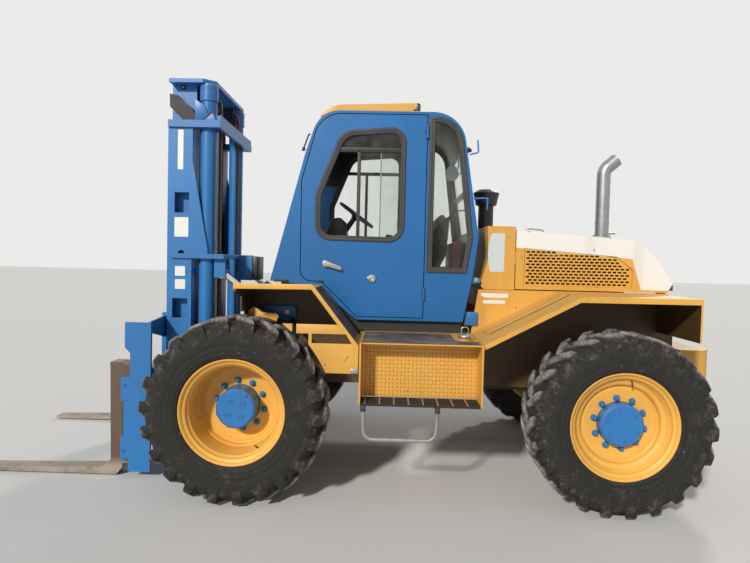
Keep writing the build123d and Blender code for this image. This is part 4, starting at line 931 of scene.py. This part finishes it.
def mast_fittings():
    """Blank stickers, webs, hose wheels, rings and plugs, and the block behind the lower beam with painted
    shade at its rear.
    """
    shape = Shape()
    for sticker in ((559, 1792, 668, 1943), (581, 1487, 660, 1563), (579, 1385, 659, 1461),
                    (605, 2313, 648, 2617)):
        shape.prism(plate(*sticker, 6), *LABEL_Y, arc=4)
    shape.mirrored().make("mast_blank_stickers", "white_label", "mast_outer", "blue_paint")

    shape = Shape().prism([(522, 2857), (445, 2805), (412, 2731), (467, 2694), (520, 2688)], 462, 474, 1.5)
    shape.prism([(386, 2757), (466, 2692), (334, 2656)], 474, 484, 1.5)
    for z, radius in ((2940, 71.5), (2852, 72)):
        shape.lathe([(0, 60), (0, radius), (9, radius), (9, 60)], (434, 400, z), UP, 40)
    shape.mirrored()
    shape.block((158, -185, 1449), (275, 55, 1655), 3)
    shape.make("mast_webs_and_rings", "blue_paint", "mast_outer", "blue_paint")
    # a black block at the blue block's rear stands in for that face's shade: painted shade
    shape = Shape().block((112, -180, 1452), (158, 50, 1652), 5)
    shape.make("mast_rear_shade_block", "black_plastic", "mast_outer", "black_rubber")
    shape = Shape()
    shape.pipe([(508, 486, 2694), (467, 486, 2690), (412, 486, 2731), (386, 486, 2757)], 5, 14, 10)
    shape.lathe([(-12, 22), (-16, 36), (-12, 42), (12, 42), (16, 36), (12, 22)], (680, 430, 2849), LEFT, 36)
    shape.mirrored().make("mast_hose_wheels", "olive_plastic", "mast_outer", "black_rubber")

    eye = (638, 396, 2964)
    shape = Shape().lathe([(0, 9), (0, 20), (7, 20), (7, 9)], eye, LEFT, 24)
    shape.mirrored().make("mast_side_rings", "black_rubber", "mast_inner", "dark_steel")
    shape = Shape().lathe([(0, 0), (0, 8), (12, 7), (14, 0)], eye, LEFT, 24)
    shape.mirrored().make("mast_side_studs", "worn_metal", "mast_inner", "chrome_rod")
    shape = Shape().lathe([(0, 41), (0, 62), (5, 62), (5, 41)], (434, 400, 2972), UP, 40)
    shape.mirrored().make("lift_rod_collars", "worn_metal", "mast_inner", "chrome_rod")

    shape = Shape()
    for x, z in ((901, 684), (907, 197)):
        shape.lathe([(-2, 0), (-2, 11), (1, 11), (1, 7), (-1, 6), (-1, 0)], (x, 790, z), LEFT, 20)
    shape.mirrored().make("carriage_bar_plugs", "black_rubber", "carriage", "black_rubber")


chains()
mast_fittings()


# Steps

STEP_X = (-1645, -825)  # rear and front of the step boxes
STEP_TOP = 1098
RECESS_Y = 950  # the plate inside the step box


def lozenges(shape, rear, front, low, high, y):
    """Raised tread marks at alternate slants on an upright plate."""
    pitch, half_long, half_wide, proud = 27, 11.5, 3.6, 1.9
    for i in range(int((front - rear) / pitch)):
        for j in range(int((high - low) / pitch)):
            slant = math.radians(45 if (i + j) % 2 else -45)
            run = Vector((math.cos(slant), math.sin(slant)))
            side = Vector((-run.y, run.x))
            middle = Vector((rear + pitch * (i + 0.5), low + pitch * (j + 0.5)))
            ends = (-half_long, 0), (0, -half_wide), (half_long, 0), (0, half_wide)
            foot = [middle + run * a + side * b for a, b in ends]
            ridge = [middle - run * 6, middle + run * 6]
            shape.add([(p.x, y, p.y) for p in foot] + [(p.x, y + proud, p.y) for p in ridge],
                      [[0, 1, 2, 3], [0, 1, 5, 4], [2, 3, 4, 5], [0, 4, 3], [1, 2, 5]])


def step_fittings():
    """Tread marks, grating bars, sleeves, top strips and the filler cap."""
    shape = Shape()
    lozenges(shape, STEP_X[0] + 10, STEP_X[1] - 10, 700, 1088, RECESS_Y)
    shape.mirrored().make("step_box_tread_marks", "body_yellow", "chassis", "body_yellow")
    shape = Shape()
    for k in range(8):
        x = -867 - 97.4 * k
        shape.block((x - 4.5, 958, 690), (x + 4.5, 1148, 701), 1.2)
    shape.mirrored().make("step_cross_bars", "worn_metal", "chassis", "rusty_steel")
    shape = Shape()
    for k in range(20):
        x = -840 - 41 * k
        shape.block((x - 3, 955, 686), (x + 3, 1149, 697))
    shape.mirrored().make("step_grating_bars", "step_metal", "chassis", "rusty_steel")
    shape = Shape()
    for x in (-856, -1351):
        shape.lathe([(0, 13.5), (0, 17), (3, 18.5), (40, 18.5), (43, 17), (43, 13.5)], (x, 1130, 640), UP, 24)
    for rear, inner, outer in ((-1632, 958, 1126), (-1480, 560, 958)):
        shape.block((rear, inner, STEP_TOP), (-836, outer, STEP_TOP + 2.5))
    shape.mirrored().make("step_sleeves_and_strips", "grip_black", "chassis", "black_rubber")
    shape = Shape()
    shape.lathe([(0, 0), (0, 44), (6, 44), (8, 36), (24, 36), (24, 0)], (-1548, 900, STEP_TOP), UP, 32)
    shape.make("filler_neck", "body_yellow", "chassis", "body_yellow")
    shape = Shape()
    shape.lathe([(20, 0), (20, 44), (23, 46), (34, 46), (40, 42), (47, 28), (50, 12), (50, 0)],
                (-1548, 900, STEP_TOP), UP, 36)
    shape.pipe([(-1524, 900, 1142), (-1524, 900, 1192), (-1572, 900, 1192), (-1572, 900, 1142)], 4, 18, 10)
    shape.prism([(-820, 894), (-770, 894), (-770, 925), (-820, 925)], 1150, 1156, 1.5)
    shape.make("filler_cap_and_tab", "worn_metal", "chassis", "chrome_rod")


step_fittings()


# Rear body

SLOPE_FOOT = (-1652, 1098)  # the rear fender's front slope
SLOPE = (-638, 336)  # from its foot to its head


def rear_fittings():
    """Strips on the rear slopes, blank labels, the hood's handles and latch, and the exhaust."""
    rate = Vector(SLOPE).length / -SLOPE[0]  # the way along the slope for each mm of X
    shape = Shape().prism(along(SLOPE_FOOT, SLOPE, 78 * rate, 633 * rate, 2), 824, 840)
    shape.prism(along(SLOPE_FOOT, SLOPE, 63 * rate, 598 * rate, 2), 656, 672)
    shape.mirrored().make("fender_slope_seals", "black_rubber", "chassis", "black_rubber")
    shape = Shape().prism(along(SLOPE_FOOT, SLOPE, 70 * rate, 616 * rate, 6), 673, 823, 2)
    shape.mirrored().make("fender_slope_rails", "body_yellow", "chassis", "body_yellow")

    shape = Shape()
    shape.prism([(-1752, 1379), (-1928, 1379), (-1928, 1412), (-1712, 1412), (-1726, 1402), (-1722, 1391)],
                *LABEL_Y)
    shape.prism(plate(-1907, 1333, -1737, 1359, 5), *LABEL_Y, arc=4)
    shape.mirrored().make("frame_blank_labels", "white_label", "chassis", "body_yellow")
    shape = Shape()
    shape.prism([(-1785, 1578, 6), (-1891, 1578, 6), (-1891, 1875, 6), (-1792, 1875, 6), (-1771, 1800),
                 (-1766, 1720), (-1772, 1640)], 470, 471, arc=4)
    shape.mirrored().make("cowl_blank_labels", "pale_label", "chassis", "body_yellow")

    shape = Shape()
    for y in (300, -300):
        shape.pipe([(-2095, y, 1893), (-2095, y, 1926), (-2225, y, 1918), (-2225, y, 1884)], 7, 14, 12)
    shape.make("hood_lift_handles", "worn_metal", "hood", "chrome_rod")
    shape = Shape().block((-3200, -40, 1470), (-3152, 40, 1512), 6)
    for y in (-455, 405):
        shape.block((-3192, y, 1464), (-3150, y + 50, 1506), 5)
    shape.make("hood_latch", "grating_steel", "hood", "rusty_steel")

    shape = Shape()
    shape.pipe([(-2688, 300, 1862), (-2688, 300, 2400), (-2783, 300, 2483)], 52, 90, 40, 12, bore=48)
    flange = [(0, 50), (0, 70), (10, 70), (14, 66), (30, 66), (34, 58), (34, 50)]
    shape.lathe(flange, (-2688, 300, 1856), UP, 40)
    shape.lathe([(0, 50), (0, 56), (8, 56), (8, 50)], (-2688, 300, 1976), UP, 40)
    shape.pipe([(-2740, 300, 1898), (-2800, 300, 1904)], 7, 0, 12)
    shape.make("hollow_exhaust_stack", "exhaust_grey", "hood", "exhaust_grey", ["exhaust_stack"])


rear_fittings()


# Grilles

GRILLE = [(-2048, 1478), (-2048, 1765), (-2748, 1713), (-2871, 1616), (-2871, 1478)]
GRILLE_Y = (461, 467)
HOLE = (29, 14)
HOLE_STEP = (39, 24)  # rows stagger by half of the first
FIRST_ROW = 1498  # the lowest row's middle


def span(z):
    """Where the grille's outline crosses a height, as its front and rear X."""
    found = []
    for (ax, az), (bx, bz) in zip(GRILLE, GRILLE[1:] + GRILLE[:1]):
        if az != bz and min(az, bz) <= z <= max(az, bz):
            found.append(ax + (z - az) / (bz - az) * (bx - ax))
    return max(found), min(found)


def slot_side(x, out, low, high):
    """One side of a web, from low to high, flaring with a round corner into each strip."""
    ease = 6.0
    turns = [math.radians(30 * k) for k in range(4)]
    lower = [(x + out * ease * (1 - math.sin(t)), low + ease * (1 - math.cos(t))) for t in turns]
    upper = [(px, high - (pz - low)) for px, pz in lower[::-1]]
    return lower + upper


def grilles():
    """Plates pierced by staggered rounded slots: full strips between rows, waisted webs between slots."""
    shape = Shape()
    wide, tall = HOLE
    across, up = HOLE_STEP
    rows = [(FIRST_ROW + up * k - tall / 2, FIRST_ROW + up * k + tall / 2) for k in range(11)]
    levels = [GRILLE[0][1], *sum(rows, ()), GRILLE[1][1]]
    for low, high in zip(levels[::2], levels[1::2]):
        shape.slab(clip(clip(GRILLE, 1, low, True), 1, high, False), *GRILLE_Y)
    for k, (low, high) in enumerate(rows):
        front, rear = span(low)[0], (span(low)[1], span(high)[1])
        x = front - 12 - (across / 2 if k % 2 else 0)
        side = [(front, low), (front, high)]
        while x - wide > max(rear) + 10:
            shape.slab(side + slot_side(x, -1, low, high)[::-1], *GRILLE_Y)
            x -= wide
            side = slot_side(x, 1, low, high)
            x -= across - wide
        shape.slab(side + [(rear[1], high), (rear[0], low)], *GRILLE_Y)
    shape.mirrored().make("perforated_grilles", "hood_paint", "hood", "body_yellow", ["hood_grilles"])


grilles()


# Cab inside

SEAT_Y = 240  # half the seat's width
VOXEL = 0.012  # metres
SWELL_CAP = 0.018  # metres that a point of a cushion may move


def cushion(name, outline, half):
    """A padded form swollen by the cloth solver."""
    piece = Shape().prism(outline, -half, half, 22, 4).make(name, "seat_vinyl", "chassis", "seat_vinyl")
    mesh = piece.data
    bpy.ops.object.select_all(action="DESELECT")
    bpy.context.view_layer.objects.active = piece
    piece.select_set(True)
    remesh = piece.modifiers.new("even", "REMESH")
    remesh.mode = "VOXEL"
    remesh.voxel_size = VOXEL
    bpy.ops.object.modifier_apply(modifier="even")
    before = [v.co.copy() for v in mesh.vertices]
    cloth = piece.modifiers.new("swell", "CLOTH")
    cloth.settings.use_pressure = True
    cloth.settings.uniform_pressure_force = 4.0
    cloth.settings.effector_weights.gravity = 0.0
    cloth.settings.quality = 5
    for step in range(1, 21):
        bpy.context.scene.frame_set(step)
    bpy.ops.object.modifier_apply(modifier="swell")
    bpy.context.scene.frame_set(1)
    for v, old in zip(mesh.vertices, before):
        shift = v.co - old
        if shift.length > SWELL_CAP:
            v.co = old + shift.normalized() * SWELL_CAP
    smooth = piece.modifiers.new("finer", "SUBSURF")
    smooth.levels = 1
    bpy.ops.object.modifier_apply(modifier="finer")
    for face in mesh.polygons:
        face.use_smooth = True


def seat():
    """Two cushions, the back's shell, and the bellows under them."""
    squab = [(-945, 1572, 30), (-945, 1632, 30), (-980, 1650, 40), (-1335, 1636, 30), (-1345, 1572, 30)]
    back = [(-1318, 1650, 25), (-1352, 1705, 30), (-1402, 2022, 30), (-1430, 2044, 14), (-1464, 2026, 30),
            (-1432, 1700, 80), (-1372, 1612, 30)]
    cushion("seat_squab", squab, SEAT_Y - 26)
    cushion("seat_back", back, SEAT_Y - 30)
    shape = Shape()
    shape.prism([(-968, 1545, 10), (-968, 1562, 8), (-1352, 1562, 8), (-1405, 1640, 30), (-1450, 1720, 60),
                 (-1484, 2020, 20), (-1494, 2018, 10), (-1470, 1700, 80), (-1420, 1600, 60),
                 (-1390, 1545, 10)], -205, 205, 3)
    # the bellows: its folds' heights and reaches
    folds = [(1545 - 20 * k, 196 if k % 2 else 178) for k in range(15)]
    quarters = ((1, -1), (-1, -1), (-1, 1), (1, 1))
    shape.skin([[(-1160 + reach * a, (reach - 20) * b, z) for a, b in quarters] for z, reach in folds])
    shape.make("seat_base", "black_plastic", "chassis", "seat_vinyl", ["seat"])
    shape = Shape().bolt((-1488, 120, 1960), (-1, 0, -0.1), 9, 7)
    shape.mirrored().make("seat_back_bolts", "worn_metal", "chassis", "chrome_rod")


def controls():
    """Steering wheel on its column, console, gauges and levers, heater box, fan and the cab's feet."""
    centre, axis = Vector((-718, 0, 2026)), Vector((-205, 0, 289)).normalized()
    turn = rotation_to(axis)
    shape = Shape().lathe([(v, 164 + u) for u, v in circle(12, 13)], centre, axis, 56)
    shape.lathe([(-40, 0), (-40, 26), (-14, 34), (2, 34), (8, 26), (8, 0)], centre, axis, 28)
    for u, v in circle(3, 1, 30):
        way = turn @ Vector((u, v, 0))
        spoke = [centre + way * 24 - axis * 14, centre + way * 90 - axis * 12, centre + way * 162]
        shape.pipe(spoke, 8, 60, 10)
    shape.rod((-600, 0, 1850), centre - axis * 20, 22)
    shape.prism([(-448, 1480), (-470, 1890, 60), (-520, 1985, 40), (-600, 2000, 50), (-640, 1930, 60),
                 (-652, 1600, 60), (-640, 1480)], -122, 122, 18, 3)
    gauge = [(0, 0), (0, 30), (10, 30), (10, 26), (6, 24), (6, 0)]
    for y in (-70, 0, 70):
        shape.lathe(gauge, (-606, y, 1962), (-0.5, 0, 0.86), 28)
    for y, lean in ((-330, 10), (-385, -14)):
        shape.pipe([(-980, y, 1480), (-980, y, 1720), (-1000 + lean, y, 1840)], 8, 60, 10)
        shape.lathe([(0, 0), (0, 10), (12, 20), (30, 22), (44, 14), (48, 0)], (-998 + lean, y, 1836), UP, 20)
    shape.block((-1080, -420, 1480), (-900, -300, 1540), 10)
    shape.make("wheel_and_console", "black_plastic", "chassis", "black_plastic", ["controls"])
    shape = Shape().block((-1620, -150, 1500), (-1500, 330, 1800), 14)
    shape.make("rear_heater_box", "black_plastic", "chassis", "black_plastic")
    shape = Shape()
    shape.lathe([(-14, 0), (-14, 30), (-8, 58), (0, 62), (10, 58), (14, 30), (14, 0)], (-1490, 300, 2350),
                (0.6, 0.8, 0), 32)
    shape.pipe([(-1500, 292, 2350), (-1540, 300, 2400), (-1545, 300, 2520)], 7, 20, 10)
    shape.make("cab_fan", "pale_plastic", "chassis", "black_plastic")
    shape = Shape()
    for x in (-1508, -1538, -1566):
        shape.pipe([(x, 334, 1600), (x, 338, 1700), (x - 6, 334, 1790)], 5, 60, 10)
        shape.lathe([(0, 0), (0, 7), (8, 11), (20, 10), (24, 0)], (x - 6, 334, 1786), UP, 14)
    shape.make("red_levers", "lamp_red", "chassis", "lamp_red")
    shape = Shape().block((-1697, 440, 1161), (-1594, 500, 1263), 4)
    shape.mirrored().make("cab_mount_feet", "blue_paint", "chassis", "blue_paint")


seat()
controls()


# Stage, camera and light


def stage():
    """Pale floor and a soft studio."""
    reach = 60.0
    mesh = bpy.data.meshes.new("studio_floor")
    signs = ((-1, -1), (1, -1), (1, 1), (-1, 1))
    mesh.from_pydata([(reach * a, reach * b, 0) for a, b in signs], [], [(0, 1, 2, 3)])
    floor = bpy.data.objects.new("studio_floor", mesh)
    bpy.context.scene.collection.objects.link(floor)
    s = Shader("studio_floor")
    concrete = s.node("BsdfPrincipled", {"Base Color": (0.70, 0.69, 0.67), "Roughness": 0.9})
    mesh.materials.append(s.close(concrete))

    # the camera, glass and gloss see a plain pale backdrop, and the rest gets a weak fill
    sky = Shader("studio", "worlds")
    rays = sky.node("LightPath").outputs
    bounced = sky.math("MAXIMUM", rays["Is Transmission Ray"], rays["Is Glossy Ray"])
    seen = sky.math("MAXIMUM", rays["Is Camera Ray"], bounced)
    fill = sky.node("Background", {0: (0.80, 0.88, 1.0), 1: 0.30})
    backdrop = sky.node("Background", {0: (0.83, 0.83, 0.82), 1: 1.0})
    light = sky.node("MixShader", {0: seen, 1: fill.outputs[0], 2: backdrop.outputs[0]})
    bpy.context.scene.world = sky.close(light, "OutputWorld")

    # the key comes from the upper front left of the machine, and a weak lamp lights its far side
    for name, energy, toward in (("key", 3.05, (0.49, 1.0, 0.60)), ("far_side", 0.9, (-0.5, -1.0, 0.7))):
        lamp = bpy.data.lights.new(name, "SUN")
        lamp.energy = energy
        lamp.angle = math.radians(5)
        lamp.color = (1.0, 0.965, 0.90)
        holder = bpy.data.objects.new(name, lamp)
        holder.rotation_mode = "QUATERNION"
        holder.rotation_quaternion = Vector(toward).to_track_quat("Z", "Y")
        bpy.context.scene.collection.objects.link(holder)


def camera():
    """The photo's viewpoint, fitted to the wheels and straight edges."""
    yaw, pitch, roll = 0.0239, -0.0361, 0.0241
    focal_pixels, width = 569.36, 750
    forward = Vector((math.sin(yaw) * math.cos(pitch), -math.cos(yaw) * math.cos(pitch), math.sin(pitch)))
    right = forward.cross(Vector(UP)).normalized()
    up = right.cross(forward)
    across = right * math.cos(roll) + up * math.sin(roll)
    over = up * math.cos(roll) - right * math.sin(roll)
    data = bpy.data.cameras.new("photo_view")
    data.sensor_width = 36.0
    data.lens = focal_pixels * data.sensor_width / width
    data.clip_end = 200
    cam = bpy.data.objects.new("photo_view", data)
    rotation = Matrix((across, over, -forward)).transposed()
    cam.matrix_world = Matrix.Translation(metres((-1006.5, 4878.9, 1639.5))) @ rotation.to_4x4()
    bpy.context.scene.collection.objects.link(cam)
    bpy.context.scene.camera = cam


stage()
camera()
bpy.context.scene.view_settings.view_transform = "Standard"
